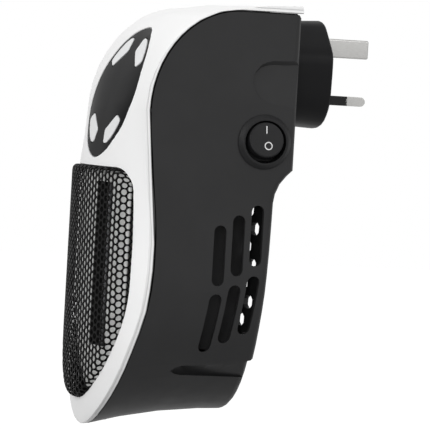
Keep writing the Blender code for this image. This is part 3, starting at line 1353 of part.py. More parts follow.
def plug_body():
    """The plug head with its rounded outline, and the neck that turns in the housing's back."""
    neck_end = INNER_BACK_Y - GAP
    rings = []
    for i in range(PLUG_EDGE_STEPS + 1):
        turn = math.pi / 2 * i / PLUG_EDGE_STEPS
        inset = PLUG_EDGE_RADIUS * (1 - math.sin(turn))
        rings.append(plug_ring(1 - inset / PLUG_RADIUS, -PLUG_EDGE_RADIUS * (1 - math.cos(turn))))
    rings.append(plug_ring(PLUG_ROOT_SHARE, -PLUG_LENGTH))
    verts, faces = skin(rings)
    plug = add_object("plug_body", verts, faces, PLUG_PLASTIC)
    fuse(plug, turned("plug neck", ((NECK_RADIUS, -PLUG_LENGTH + WALL), (NECK_RADIUS, neck_end)),
                      (0, 0, 0), (0, 1, 0), PLUG_PLASTIC, 40))
    cut(plug, turned("wire bore", ((NECK_BORE_RADIUS, neck_end - OVERRUN), (NECK_BORE_RADIUS, neck_end + NECK_BORE_DEPTH)),
                     (0, 0, 0), (0, 1, 0), PLUG_PLASTIC, SMALL_ROUND_STEPS))
    for name, x, z, width, height in pin_places():
        room = GAP if name == "earth" else SLEEVE_WALL + GAP
        tool = block(f"{name} pocket", (x - width / 2 - room, -PIN_ROOT_DEPTH - GAP, z - height / 2 - room),
                     (x + width / 2 + room, OVERRUN, z + height / 2 + room), PLUG_PLASTIC)
        cut(plug, tool)
    for side in (1, -1):
        radius = SCREW_SHANK_RADIUS + GAP
        cut(plug, turned(f"neck pilot {side}", ((radius, neck_end - OVERRUN), (radius, neck_end + SWIVEL_SCREW_LENGTH)),
                         (side * SWIVEL_SCREW_PLACE, 0, 0), (0, 1, 0), PLUG_PLASTIC, SMALL_ROUND_STEPS))
    return plug


def pin_places():
    """Pin axes and the sections that stand in the plug head, as (name, x, z, width, height)."""
    low = EARTH_RISE - PIN_PITCH_UP
    width, height = POWER_PIN_WIDTH - 2 * SLEEVE_WALL, POWER_PIN_HEIGHT - 2 * SLEEVE_WALL
    return (("earth", 0.0, EARTH_RISE, EARTH_PIN_WIDTH, EARTH_PIN_HEIGHT),
            ("live", PIN_PITCH_ACROSS / 2, low, width, height),
            ("neutral", -PIN_PITCH_ACROSS / 2, low, width, height))


def earth_pin():
    name, x, z, width, height = pin_places()[0]
    pin = block("earth_pin", (x - width / 2, -PIN_ROOT_DEPTH, z - height / 2),
                (x + width / 2, EARTH_PIN_LENGTH, z + height / 2), PIN_METAL)
    return soften(pin, PIN_TIP_BEVEL, 2)


def power_pin(name, x, z, width, height):
    """A pin with a slim root inside its sleeve and a full, round-nosed end."""
    start, full = -PIN_ROOT_DEPTH, SLEEVE_LENGTH + GAP
    nose = POWER_PIN_LENGTH
    radius = POWER_PIN_HEIGHT / 2
    rings = []
    stations = [(start, width, height), (full, width, height), (full, POWER_PIN_WIDTH, POWER_PIN_HEIGHT)]
    for i in range(4):
        turn = math.pi / 2 * i / 4
        stations.append((nose - radius + radius * math.sin(turn), POWER_PIN_WIDTH,
                         max(POWER_PIN_HEIGHT * math.cos(turn), GAP)))
    stations.append((nose, POWER_PIN_WIDTH, POWER_PIN_HEIGHT / 4))
    for y, wide, high in stations:
        rings.append([(x - wide / 2, y, z - high / 2), (x + wide / 2, y, z - high / 2),
                      (x + wide / 2, y, z + high / 2), (x - wide / 2, y, z + high / 2)])
    verts, faces = skin(rings)
    return add_object(name, verts, faces, PIN_METAL, smooth=False)


def pin_sleeve(name, x, z, width, height):
    """The insulating sleeve round a pin's root, flush with the pin's full end."""
    start, end = -PIN_ROOT_DEPTH, SLEEVE_LENGTH
    outer = frame_at(x, z, width + 2 * SLEEVE_WALL, height + 2 * SLEEVE_WALL)
    inner = frame_at(x, z, width + 2 * GAP, height + 2 * GAP)
    sleeve = prism(name, outer, start, end, 'Y', PLUG_PLASTIC)
    return cut(sleeve, prism(f"{name} bore", inner, start - OVERRUN, end + OVERRUN, 'Y', PLUG_PLASTIC))


def frame_at(x, z, width, height):
    return [(x + a, b) for a, b in frame_outline(width, height, z)]


def pins():
    earth_pin()
    for name, x, z, width, height in pin_places()[1:]:
        power_pin(f"{name}_pin", x, z, width, height)
        pin_sleeve(f"{name}_sleeve", x, z, width, height)


def swivel_plate():
    """The plate that keeps the neck in the housing's back."""
    start = INNER_BACK_Y - 2 * GAP - SWIVEL_PLATE_THICKNESS
    end = start + SWIVEL_PLATE_THICKNESS
    plate = turned("swivel_plate", ((NECK_BORE_RADIUS, start), (SWIVEL_PLATE_RADIUS, start),
                                    (SWIVEL_PLATE_RADIUS, end), (NECK_BORE_RADIUS, end)), (0, 0, 0), (0, 1, 0),
                   BLACK_PLASTIC, 28, closed=True)
    for side in (1, -1):
        radius = SCREW_SHANK_RADIUS + GAP
        cut(plate, turned(f"plate hole {side}", ((radius, start - OVERRUN), (radius, end + OVERRUN)),
                          (side * SWIVEL_SCREW_PLACE, 0, 0), (0, 1, 0), BLACK_PLASTIC, SMALL_ROUND_STEPS))
    return plate


def screw(name, seat, way, length):
    """A pan-head screw: its head rests on the seat and its shank runs along the way."""
    profile = ((SCREW_SHANK_RADIUS * 0.7, length), (SCREW_SHANK_RADIUS, length - SCREW_SHANK_RADIUS),
               (SCREW_SHANK_RADIUS, 0.0), (SCREW_HEAD_RADIUS, 0.0),
               (SCREW_HEAD_RADIUS, -SCREW_HEAD_HEIGHT * 0.6), (SCREW_HEAD_RADIUS * 0.7, -SCREW_HEAD_HEIGHT))
    return turned(name, profile, seat, way, STEEL, SMALL_ROUND_STEPS)


def screws():
    plate = INNER_BACK_Y - 3 * GAP - SWIVEL_PLATE_THICKNESS
    length = SWIVEL_PLATE_THICKNESS + SWIVEL_SCREW_LENGTH - OVERRUN / 2
    for name, side in (("swivel_screw_right", 1), ("swivel_screw_left", -1)):
        screw(name, (side * SWIVEL_SCREW_PLACE, plate, 0), (0, 1, 0), length)
    for name, x in screw_places():
        seat = (x, POST_SEAT_Y + WALL + GAP, CASE_SCREW_Z)
        screw(f"case_screw_{name}", seat, (0, -1, 0), WALL + POST_GRIP)
    seat_z = lip_seat_z() - GAP
    screw("case_screw_lip", (0, lip_screw_y(), seat_z), (0, 0, 1), lip_block_span()[1] - seat_z)


def main():
    clear_scene()
    rear_housing()
    front_cover()
    control_fascia()
    buttons()
    display_module()
    control_board()
    power_board()
    outlet_grille()
    outlet_baffle()
    heater_frame()
    heating_element()
    thermal_cutout()
    fan_shroud()
    fan_motor()
    motor_shaft()
    fan_impeller()
    switch_bezel()
    switch_body()
    rocker()
    plug_body()
    pins()
    swivel_plate()
    screws()


main()
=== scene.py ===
"""Looks of the plug-in fan heater: mouldings, control panel, perforated outlet, switch and plug.

Everything is in metres in the row frame. The origin is the centre of the plug's pin face, +Y runs
into the wall, the warm air leaves along -Y, +Z is up and the rocker switch is on the +X side.
"""

import json
import logging
import math
from collections.abc import Callable
from dataclasses import dataclass, field
from enum import Enum

import bpy
import numpy as np
from bpy.types import ID, Material, NodeSocket, NodeTree, Object
from mathutils import Matrix, Vector

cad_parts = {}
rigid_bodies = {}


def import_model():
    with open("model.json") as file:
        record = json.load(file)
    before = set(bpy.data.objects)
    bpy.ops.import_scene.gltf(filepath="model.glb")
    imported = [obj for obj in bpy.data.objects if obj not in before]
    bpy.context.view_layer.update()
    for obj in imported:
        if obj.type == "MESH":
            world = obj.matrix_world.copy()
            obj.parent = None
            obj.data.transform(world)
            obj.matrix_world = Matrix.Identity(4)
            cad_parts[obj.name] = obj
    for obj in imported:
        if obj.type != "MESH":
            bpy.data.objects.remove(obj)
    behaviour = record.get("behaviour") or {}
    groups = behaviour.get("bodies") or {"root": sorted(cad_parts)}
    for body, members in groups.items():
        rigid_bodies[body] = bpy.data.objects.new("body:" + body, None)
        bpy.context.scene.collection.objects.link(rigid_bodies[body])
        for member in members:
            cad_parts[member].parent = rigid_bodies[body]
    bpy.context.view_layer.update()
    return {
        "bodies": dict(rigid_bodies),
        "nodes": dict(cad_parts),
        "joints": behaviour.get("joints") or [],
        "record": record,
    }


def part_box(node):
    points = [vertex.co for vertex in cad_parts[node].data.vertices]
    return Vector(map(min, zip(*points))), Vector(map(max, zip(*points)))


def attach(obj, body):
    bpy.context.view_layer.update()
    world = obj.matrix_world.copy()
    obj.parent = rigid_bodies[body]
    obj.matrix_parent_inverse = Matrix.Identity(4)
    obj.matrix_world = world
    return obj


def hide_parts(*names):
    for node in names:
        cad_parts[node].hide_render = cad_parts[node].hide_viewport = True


logging.basicConfig(level=logging.INFO, format="%(message)s")
LOG = logging.getLogger("fan heater")
MM = 0.001

# The casing's sides: half their width at the back, where the back lies, and how they close towards the front.
HALF_WIDTH = 42.0 * MM
BACK_Y = -22.2 * MM
TAPER = 0.040

# Marks that the meshes carry for their finishes, which also place painted shade: the distance from the
# cover's parting line, and the walls of the baffle's window.
SEAM_RUN = "from_seam"
WINDOW_SHADE = "window_shade"

# Finishes: how large the soft patches of colour and gloss are, and how far they vary.
CLOUD = 18 * MM
PATCH = 6 * MM
GLOSS_PLAY = (-0.03, 0.03)
PALE_PLAY = (0.985, 1.01)


# ---- working with pieces

class Pick(Enum):
    """What an edit-mode selection is made of."""

    VERTS = "VERT"
    EDGES = "EDGE"


def deselect_all() -> None:
    """Leave nothing selected."""
    for other in bpy.context.selected_objects:
        other.select_set(False)


def make_active(piece: Object) -> None:
    """Select one piece alone and make it the active one."""
    if bpy.context.mode != 'OBJECT':
        bpy.ops.object.mode_set(mode='OBJECT')
    deselect_all()
    piece.select_set(True)
    bpy.context.view_layer.objects.active = piece


def edit_whole(piece: Object) -> None:
    """Enter edit mode with the whole piece selected."""
    make_active(piece)
    bpy.ops.object.mode_set(mode='EDIT')
    bpy.ops.mesh.select_all(action='SELECT')


def leave_edit() -> None:
    """Back to object mode."""
    bpy.ops.object.mode_set(mode='OBJECT')


def weld(piece: Object, reach: float) -> None:
    """Join the points of a piece that lie close together.

    Args:
        piece: the piece to weld.
        reach: points closer than this become one.
    """
    edit_whole(piece)
    bpy.ops.mesh.remove_doubles(threshold=reach)
    leave_edit()


def apply_all(piece: Object) -> None:
    """Apply a piece's modifiers in their order."""
    make_active(piece)
    for step in list(piece.modifiers):
        bpy.ops.object.modifier_apply(modifier=step.name)


def settle(piece: Object) -> None:
    """Put a piece's place into its mesh, so that its object sits at the origin."""
    make_active(piece)
    bpy.ops.object.transform_apply(location=True, rotation=True, scale=True)


def added(name: str, data: ID) -> Object:
    """A new object of the scene that shows some data."""
    piece = bpy.data.objects.new(name, data)
    bpy.context.scene.collection.objects.link(piece)
    return piece


def named(name: str) -> Object:
    """Name the piece that an operator has just added."""
    piece = bpy.context.active_object
    piece.name = name
    piece.data.name = name
    return piece


def smooth(piece: Object, angle_deg: float = 32.0) -> None:
    """Shade a piece smooth, with its edges above an angle left crisp."""
    make_active(piece)
    bpy.ops.object.shade_smooth_by_angle(angle=math.radians(angle_deg))


def even_shading(piece: Object) -> None:
    """Let the large faces set the shading beside small ones, so that long walls show no creases."""
    step = piece.modifiers.new("even shading", 'WEIGHTED_NORMAL')
    step.keep_sharp = True
    step.weight = 50
    apply_all(piece)


def bevel(piece: Object, width: float) -> None:
    """Round a piece's crisp edges, those sharper than 38 degrees, in two steps.

    Args:
        piece: the piece to work on.
        width: the bevel's width.
    """
    step = piece.modifiers.new("round edges", 'BEVEL')
    step.width = width
    step.segments = 2
    step.limit_method = 'ANGLE'
    step.angle_limit = math.radians(38.0)
    step.harden_normals = False
    apply_all(piece)


def thicken(piece: Object, wall: float, offset: float) -> None:
    """Give a sheet its thickness.

    Args:
        piece: the sheet.
        wall: how thick it becomes.
        offset: -1 if the wall grows inwards, 0 if it grows to both sides.
    """
    step = piece.modifiers.new("sheet", 'SOLIDIFY')
    step.thickness = wall
    step.offset = offset
    apply_all(piece)


def repeat(piece: Object, step: tuple, count: int) -> None:
    """Repeat a piece along a step.

    Args:
        piece: the piece to repeat.
        step: the constant offset from one to the next.
        count: how many there are in all.
    """
    row = piece.modifiers.new("row", 'ARRAY')
    row.use_relative_offset = False
    row.use_constant_offset = True
    row.constant_offset_displace = step
    row.count = count
    apply_all(piece)


def moulded_copy(node: Object, name: str, edge: float) -> Object:
    """Weld a copy of a solid into one smooth skin.

    Args:
        node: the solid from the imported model.
        name: the new piece's name.
        edge: how far its crisp edges are rounded.

    Returns:
        The new piece, at the origin.
    """
    piece = added(name, node.data.copy())
    piece.data.name = name
    piece.data.materials.clear()
    make_active(piece)
    if piece.data.has_custom_normals:
        bpy.ops.mesh.customdata_custom_splitnormals_clear()
    edit_whole(piece)
    bpy.ops.mesh.remove_doubles(threshold=0.002 * MM)
    bpy.ops.mesh.dissolve_limited(angle_limit=math.radians(0.3))
    leave_edit()
    bevel(piece, edge)
    smooth(piece)
    even_shading(piece)
    return piece


def pick(piece: Object, kind: Pick, wanted: Callable[[Vector], bool]) -> None:
    """Enter edit mode with only the wanted elements selected.

    Args:
        piece: the piece to edit.
        kind: whether vertices or edges are picked.
        wanted: a test on each element's middle, as a Vector, that says whether it is picked.
    """
    make_active(piece)
    bpy.ops.object.mode_set(mode='EDIT')
    bpy.ops.mesh.select_mode(type=kind.value)
    bpy.ops.mesh.select_all(action='DESELECT')
    bpy.ops.object.mode_set(mode='OBJECT')
    data = piece.data
    if kind is Pick.VERTS:
        for vert in data.vertices:
            vert.select = bool(wanted(vert.co))
    else:
        for edge in data.edges:
            a, b = (data.vertices[i].co for i in edge.vertices)
            edge.select = bool(wanted((a + b) / 2))
    bpy.ops.object.mode_set(mode='EDIT')


def points_of(piece: Object) -> np.ndarray:
    """The places of a piece's points."""
    return np.array([v.co for v in piece.data.vertices])


def move_points(piece: Object, places: np.ndarray) -> None:
    """Give a piece's points new places."""
    piece.data.vertices.foreach_set("co", places.astype(np.float32).ravel())
    piece.data.update()


def store(piece: Object, name: str, values: np.ndarray) -> None:
    """Store one number for each point in the mesh, for a finish to read.

    Args:
        piece: the piece to mark.
        name: the attribute's name.
        values: the numbers, in the order of the points.
    """
    layer = piece.data.attributes.new(name, 'FLOAT', 'POINT')
    layer.data.foreach_set("value", values.astype(np.float32))


def nearest_on(spots: np.ndarray, starts: np.ndarray, ends: np.ndarray) -> np.ndarray:
    """The place on each of some straight lengths that is nearest to each spot.

    Args:
        spots: flat places, one row each.
        starts: where the lengths start, one row each.
        ends: where they end.

    Returns:
        An array of one place for each spot and each length.
    """
    along = ends - starts
    share = ((spots[:, None] - starts) * along).sum(2) / np.maximum((along ** 2).sum(1), 1e-14)
    return starts + np.clip(share, 0, 1)[..., None] * along


# ---- finishes

class Graph:
    """A material's node tree, with short ways to add what the finishes need."""

    def __init__(self, name: str) -> None:
        """Start a material with one Principled shader."""
        self.material = bpy.data.materials.new(name)
        self.material.use_nodes = True
        self.nodes = self.material.node_tree.nodes
        self.links = self.material.node_tree.links
        self.shader = self.nodes["Principled BSDF"]
        self.place = self.nodes.new("ShaderNodeTexCoord").outputs["Object"]

    def join(self, source: NodeSocket, target: NodeSocket) -> None:
        """Link two sockets."""
        self.links.new(source, target)

    def set(self, **values: float | tuple) -> None:
        """Set the shader's constant sockets; an underscore stands for a space."""
        for key, value in values.items():
            self.shader.inputs[key.replace("_", " ")].default_value = value

    def noise(self, size: float, detail: float = 2.0, stretch: tuple = (1, 1, 1)) -> NodeSocket:
        """A noise pattern.

        Args:
            size: the size of its grains in metres.
            detail: how many finer layers it has.
            stretch: how much finer it is along each axis.

        Returns:
            Its value, about 0.5 on average.
        """
        mapping = self.nodes.new("ShaderNodeMapping")
        mapping.inputs["Scale"].default_value = stretch
        self.join(self.place, mapping.inputs["Vector"])
        node = self.nodes.new("ShaderNodeTexNoise")
        node.inputs["Scale"].default_value = 1 / size
        node.inputs["Detail"].default_value = detail
        self.join(mapping.outputs["Vector"], node.inputs["Vector"])
        return node.outputs["Fac"]

    def spread(self, value: NodeSocket, start: float, end: float, low: float = 0.3,
               high: float = 0.7) -> NodeSocket:
        """Map a value from one range to another.

        Args:
            value: what is mapped.
            start: what the low end becomes.
            end: what the high end becomes.
            low: the value's low end.
            high: the value's high end.

        Returns:
            The mapped value.
        """
        node = self.nodes.new("ShaderNodeMapRange")
        node.inputs["From Min"].default_value = low
        node.inputs["From Max"].default_value = high
        node.inputs["To Min"].default_value = start
        node.inputs["To Max"].default_value = end
        self.join(value, node.inputs["Value"])
        return node.outputs["Result"]

    def tint(self, factor: NodeSocket, one: tuple | NodeSocket, other: tuple | NodeSocket) -> NodeSocket:
        """Mix two colours by a factor.

        Args:
            factor: how much of the second colour shows.
            one: the first colour, plain or from a node.
            other: the second colour, plain or from a node.

        Returns:
            The mixed colour.
        """
        node = self.nodes.new("ShaderNodeMix")
        node.data_type = 'RGBA'
        for socket, colour in (("A", one), ("B", other)):
            if isinstance(colour, tuple):
                node.inputs[socket].default_value = (*colour, 1)
            else:
                self.join(colour, node.inputs[socket])
        self.join(factor, node.inputs["Factor"])
        return node.outputs["Result"]

    def varied(self, pattern: NodeSocket, colour: tuple, low: float, high: float) -> NodeSocket:
        """A colour that a pattern makes darker and lighter, from one share of it to another."""
        return self.tint(self.spread(pattern, 0, 1), shade(colour, low), shade(colour, high))

    def gloss(self, roughness: float, size: float = PATCH, play: tuple = GLOSS_PLAY) -> None:
        """Let the shader's roughness vary a little.

        Args:
            roughness: its plain value.
            size: how large the soft patches are.
            play: how far it goes down and up.
        """
        self.join(self.spread(self.noise(size), *(roughness + part for part in play)),
                  self.shader.inputs["Roughness"])

    def bump(self, height: NodeSocket, depth: float, under: NodeSocket | None = None) -> NodeSocket:
        """A bump from a height.

        Args:
            height: the height pattern, from 0 to 1.
            depth: how deep one whole step of it is, in metres.
            under: another bump that this one lies on.

        Returns:
            The bent normal.
        """
        node = self.nodes.new("ShaderNodeBump")
        node.inputs["Strength"].default_value = 1.0
        node.inputs["Distance"].default_value = depth
        self.join(height, node.inputs["Height"])
        if under is not None:
            self.join(under, node.inputs["Normal"])
        return node.outputs["Normal"]

    def finish(self, colour: NodeSocket, normal: NodeSocket, **values: float | tuple) -> Material:
        """Lead the colour and the normal to the shader.

        Args:
            colour: the colour.
            normal: the bent normal.
            values: the shader's constant sockets.

        Returns:
            The finished material.
        """
        self.join(colour, self.shader.inputs["Base Color"])
        self.join(normal, self.shader.inputs["Normal"])
        self.set(**values)
        return self.material

    def attribute(self, name: str) -> NodeSocket:
        """The value of one of the mesh's own attributes."""
        node = self.nodes.new("ShaderNodeAttribute")
        node.attribute_name = name
        return node.outputs["Fac"]


def shade(colour: tuple, share: float) -> tuple:
    """A colour made lighter or darker by a share."""
    return tuple(min(1.0, c * share) for c in colour)


@dataclass(frozen=True)
class Moulding:
    """A moulded plastic: a spark-eroded grain with soft variation of colour and gloss."""

    name: str
    colour: tuple
    roughness: float
    specular: float = 0.5
    grain: float = 0.35 * MM
    depth: float = 0.004 * MM
    mottle: float = 0.06
    wave_share: float = 3

    def build(self) -> Material:
        """Make the material."""
        graph = Graph(self.name)
        cloud = graph.noise(CLOUD, 3)
        graph.gloss(self.roughness)
        waves = graph.bump(cloud, self.depth * self.wave_share)
        return graph.finish(graph.varied(cloud, self.colour, 1 - self.mottle, 1 + self.mottle),
                            graph.bump(graph.noise(self.grain, 3), self.depth, waves),
                            Specular_IOR_Level=self.specular)


@dataclass(frozen=True)
class WindowShadeMoulding:
    """A pale moulding whose marked part is painted near black, as painted shade."""

    name: str
    colour: tuple
    painted_shade: tuple
    attribute: str
    roughness: float = 0.45
    specular: float = 0.3
    grain: float = 0.35 * MM
    depth: float = 0.004 * MM

    def build(self) -> Material:
        """Make the material."""
        graph = Graph(self.name)
        pale = graph.varied(graph.noise(CLOUD, 3), self.colour, *PALE_PLAY)
        graph.gloss(self.roughness)
        # The marked part takes the near-black colour: painted shade.
        return graph.finish(graph.tint(graph.attribute(self.attribute), pale, self.painted_shade),
                            graph.bump(graph.noise(self.grain, 3), self.depth),
                            Specular_IOR_Level=self.specular)


@dataclass(frozen=True)
class SeamMoulding:
    """The cover's plastic, with the fine groove, painted darker as painted shade, and a near-black band along
    its rim as painted shadow of the parting gap.
    """

    name: str
    colour: tuple
    roughness: float
    attribute: str
    specular: float = 0.45
    cloud: float = 25 * MM
    patch: float = 8 * MM
    grain: float = 0.3 * MM
    depth: float = 0.0015 * MM
    # The groove, and how much darker its colour is painted: painted shade.
    groove_at: float = 1.65 * MM
    groove_width: float = 0.6 * MM
    groove_depth: float = 0.25 * MM
    groove_shade: float = 0.62
    # The near-black band along the rim: painted shadow of the parting gap.
    rim_shadow_width: float = 0.55 * MM
    rim_shadow_fade: float = 0.3
    rim_shadow_colour: tuple = (0.015, 0.015, 0.015)

    def groove(self, graph: Graph, run: NodeSocket) -> NodeSocket:
        """The groove's section.

        Args:
            graph: the material's graph.
            run: the distance from the parting line.

        Returns:
            Nought in the groove and one beside it.
        """
        ramp = graph.nodes.new("ShaderNodeValToRGB")
        ramp.color_ramp.interpolation = 'B_SPLINE'
        stops = ramp.color_ramp.elements
        span = 2 * self.groove_at
        middle, half = self.groove_at / span, self.groove_width / span / 2
        stops[0].position, stops[0].color = 0.0, (1, 1, 1, 1)
        stops[1].position, stops[1].color = 1.0, (1, 1, 1, 1)
        for place, level in ((middle - half, 1.0), (middle, 0.0), (middle + half, 1.0)):
            stops.new(place).color = (level, level, level, 1)
        graph.join(graph.spread(run, 0, 1, 0, span), ramp.inputs["Fac"])
        return ramp.outputs["Color"]

    def build(self) -> Material:
        """Make the material."""
        graph = Graph(self.name)
        run = graph.attribute(self.attribute)
        groove = self.groove(graph, run)
        pale = graph.varied(graph.noise(self.cloud, 3), self.colour, *PALE_PLAY)
        # The groove's colour is darkened: painted shade.
        grooved = graph.tint(groove, shade(self.colour, self.groove_shade), pale)
        # A near-black band along the rim: painted shadow of the parting gap.
        rim = (self.rim_shadow_width * (1 + fade) for fade in (-self.rim_shadow_fade, self.rim_shadow_fade))
        past_rim = graph.spread(run, 0, 1, *rim)
        graph.gloss(self.roughness, self.patch)
        cut = graph.bump(groove, self.groove_depth)
        return graph.finish(graph.tint(past_rim, self.rim_shadow_colour, grooved),
                            graph.bump(graph.noise(self.grain), self.depth, cut),
                            Specular_IOR_Level=self.specular)


@dataclass(frozen=True)
class Metal:
    """A metal, bare or painted, with fine drawn or brushed lines along one axis."""

    name: str
    colour: tuple
    roughness: float
    lines: tuple = (1, 12, 12)
    size: float = 2.0 * MM
    depth: float = 0.003 * MM
    metallic: float = 1.0
    specular: float = 0.5
    patch: float = 9 * MM
    tone: tuple = (0.9, 1.06)
    wear: tuple = (-0.05, 0.06)

    def build(self) -> Material:
        """Make the material."""
        graph = Graph(self.name)
        streak = graph.noise(self.size, 4, self.lines)
        graph.gloss(self.roughness, self.patch, self.wear)
        return graph.finish(graph.varied(streak, self.colour, *self.tone), graph.bump(streak, self.depth),
                            Metallic=self.metallic, Specular_IOR_Level=self.specular)


@dataclass(frozen=True)
class Laminate:
    """A printed circuit board: green lacquer over paler copper tracks."""

    name: str
    colour: tuple
    track: tuple
    pitch: float = 2.5 * MM
    track_edge: tuple = (0.42, 0.47)
    track_height: float = 0.03 * MM
    patch: float = 4 * MM
    roughness: float = 0.35
    wear: tuple = (0.0, 0.15)

    def build(self) -> Material:
        """Make the material."""
        graph = Graph(self.name)
        cells = graph.nodes.new("ShaderNodeTexVoronoi")
        cells.distance = 'CHEBYCHEV'
        cells.feature = 'F1'
        cells.inputs["Scale"].default_value = 1 / self.pitch
        graph.join(graph.place, cells.inputs["Vector"])
        line = graph.spread(cells.outputs["Distance"], 0, 1, *self.track_edge)
        graph.gloss(self.roughness, self.patch, self.wear)
        return graph.finish(graph.tint(line, self.colour, self.track), graph.bump(line, self.track_height))


class Finishes:
    """All finishes of the heater, each made once."""

    def __init__(self) -> None:
        """Build every material."""
        self.housing = Moulding("housing_black", (0.0185, 0.0185, 0.019), 0.50, 0.18, mottle=0.08).build()
        # A near-black finish for the strips in the parting gap: painted shadow.
        self.gap = Moulding("gap_shadow_black", (0.001, 0.001, 0.001), 0.7, 0.02).build()
        self.collar = Moulding("collar_black", (0.0075, 0.0075, 0.008), 0.50, 0.18).build()
        self.cover = SeamMoulding("cover_white", (0.86, 0.86, 0.86), 0.36, SEAM_RUN).build()
        # The walls of the baffle's window are painted near black: painted shade inside the window.
        self.baffle = WindowShadeMoulding("baffle_white", (0.94, 0.94, 0.93), (0.012, 0.012, 0.012), WINDOW_SHADE).build()
        self.panel = Moulding("panel_gloss", (0.004, 0.004, 0.0045), 0.16, 0.012, grain=0.8 * MM,
                              depth=0.0006 * MM, mottle=0.05).build()
        self.button = Moulding("button_pale", (0.76, 0.765, 0.77), 0.46, 0.4, grain=0.45 * MM,
                               depth=0.02 * MM, mottle=0.03).build()
        self.rocker = Moulding("rocker_black", (0.010, 0.010, 0.0105), 0.36, 0.12, grain=0.3 * MM,
                               depth=0.003 * MM).build()
        self.mark = Moulding("mark_white", (0.70, 0.70, 0.70), 0.5, 0.4, mottle=0.02).build()
        self.plug = Moulding("plug_black", (0.005, 0.005, 0.0055), 0.46, 0.10, grain=0.4 * MM).build()
        self.sleeve = Moulding("sleeve_black", (0.005, 0.005, 0.0055), 0.40, 0.18).build()
        self.pin = Metal("pin_nickel", (0.35, 0.347, 0.339), 0.40, lines=(12, 1, 12)).build()
        self.steel = Metal("screw_steel", (0.50, 0.51, 0.52), 0.34).build()
        # The fins and their bars are darkened below bare aluminium for the shade inside the outlet: painted
        # shade.
        self.fins = Metal("fin_aluminium_shaded", (0.30, 0.30, 0.31), 0.42, lines=(6, 1, 6)).build()
        self.brass = Metal("cutout_metal", (0.58, 0.52, 0.42), 0.36).build()
        self.grille = Metal("grille_paint", (0.003, 0.003, 0.003), 0.50, lines=(1, 1, 1), size=0.4 * MM,
                            depth=0.004 * MM, metallic=0.0, specular=0.06).build()
        # The heater frame and element are darkened to about half the moulding's colour for the shade inside
        # the outlet: painted shade.
        self.ceramic = Moulding("heater_ceramic_shaded", (0.30, 0.28, 0.24), 0.7, 0.3, grain=0.5 * MM,
                                depth=0.02 * MM).build()
        self.board = Laminate("board_lacquer", (0.02, 0.13, 0.05), (0.05, 0.24, 0.09)).build()


@dataclass(frozen=True)
class Skin:
    """How one solid is shown: the solid, its finish by name and how far its edges are rounded."""

    node: str
    finish: str
    edge_mm: float


@dataclass
class Workshop:
    """What every sub-assembly needs: the solids, their bodies, the finishes and the record's slots."""

    frame: dict
    finishes: Finishes
    slot_of: dict = field(default_factory=dict)
    body_of: dict = field(default_factory=dict)

    def __post_init__(self) -> None:
        """Look up each node's slot and body."""
        record = self.frame["record"]
        for row in record["subparts"]:
            self.slot_of[row["node"]] = row["material_slot"]
        for body, members in record["behaviour"]["bodies"].items():
            for node in members:
                self.body_of[node] = body

    def place(self, piece: Object, material: Material, node: str, stands_for: bool = True) -> None:
        """Finish a new piece and tie it to the solids.

        Args:
            piece: the new piece.
            material: its finish.
            node: the solid whose body it takes.
            stands_for: whether it replaces that solid.
        """
        piece.data.materials.clear()
        piece.data.materials.append(material)
        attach(piece, self.body_of[node])
        if stands_for:
            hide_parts(node)
        LOG.info("%s: %d faces, in %s", piece.name, len(piece.data.polygons), material.name)

    def mould(self, skin: Skin) -> Object:
        """Replace a solid by its smooth, soft-edged copy.

        Args:
            skin: which solid, and its looks.

        Returns:
            The new piece.
        """
        piece = moulded_copy(self.frame["nodes"][skin.node], f"{skin.node}_moulding", skin.edge_mm * MM)
        self.place(piece, getattr(self.finishes, skin.finish), skin.node)
        return piece


@dataclass
class Group:
    """A sub-assembly, most of whose solids are shown as smooth mouldings."""

    shop: Workshop
    skins: tuple = ()

    @property
    def finishes(self) -> Finishes:
        """The heater's finishes."""
        return self.shop.finishes

    def dress(self) -> dict[str, Object]:
        """The smooth mouldings, made in the order of their list, by their solids' names."""
        return {skin.node: self.shop.mould(skin) for skin in self.skins}

    def build(self) -> None:
        """Make every piece."""
        self.dress()


# ---- casing

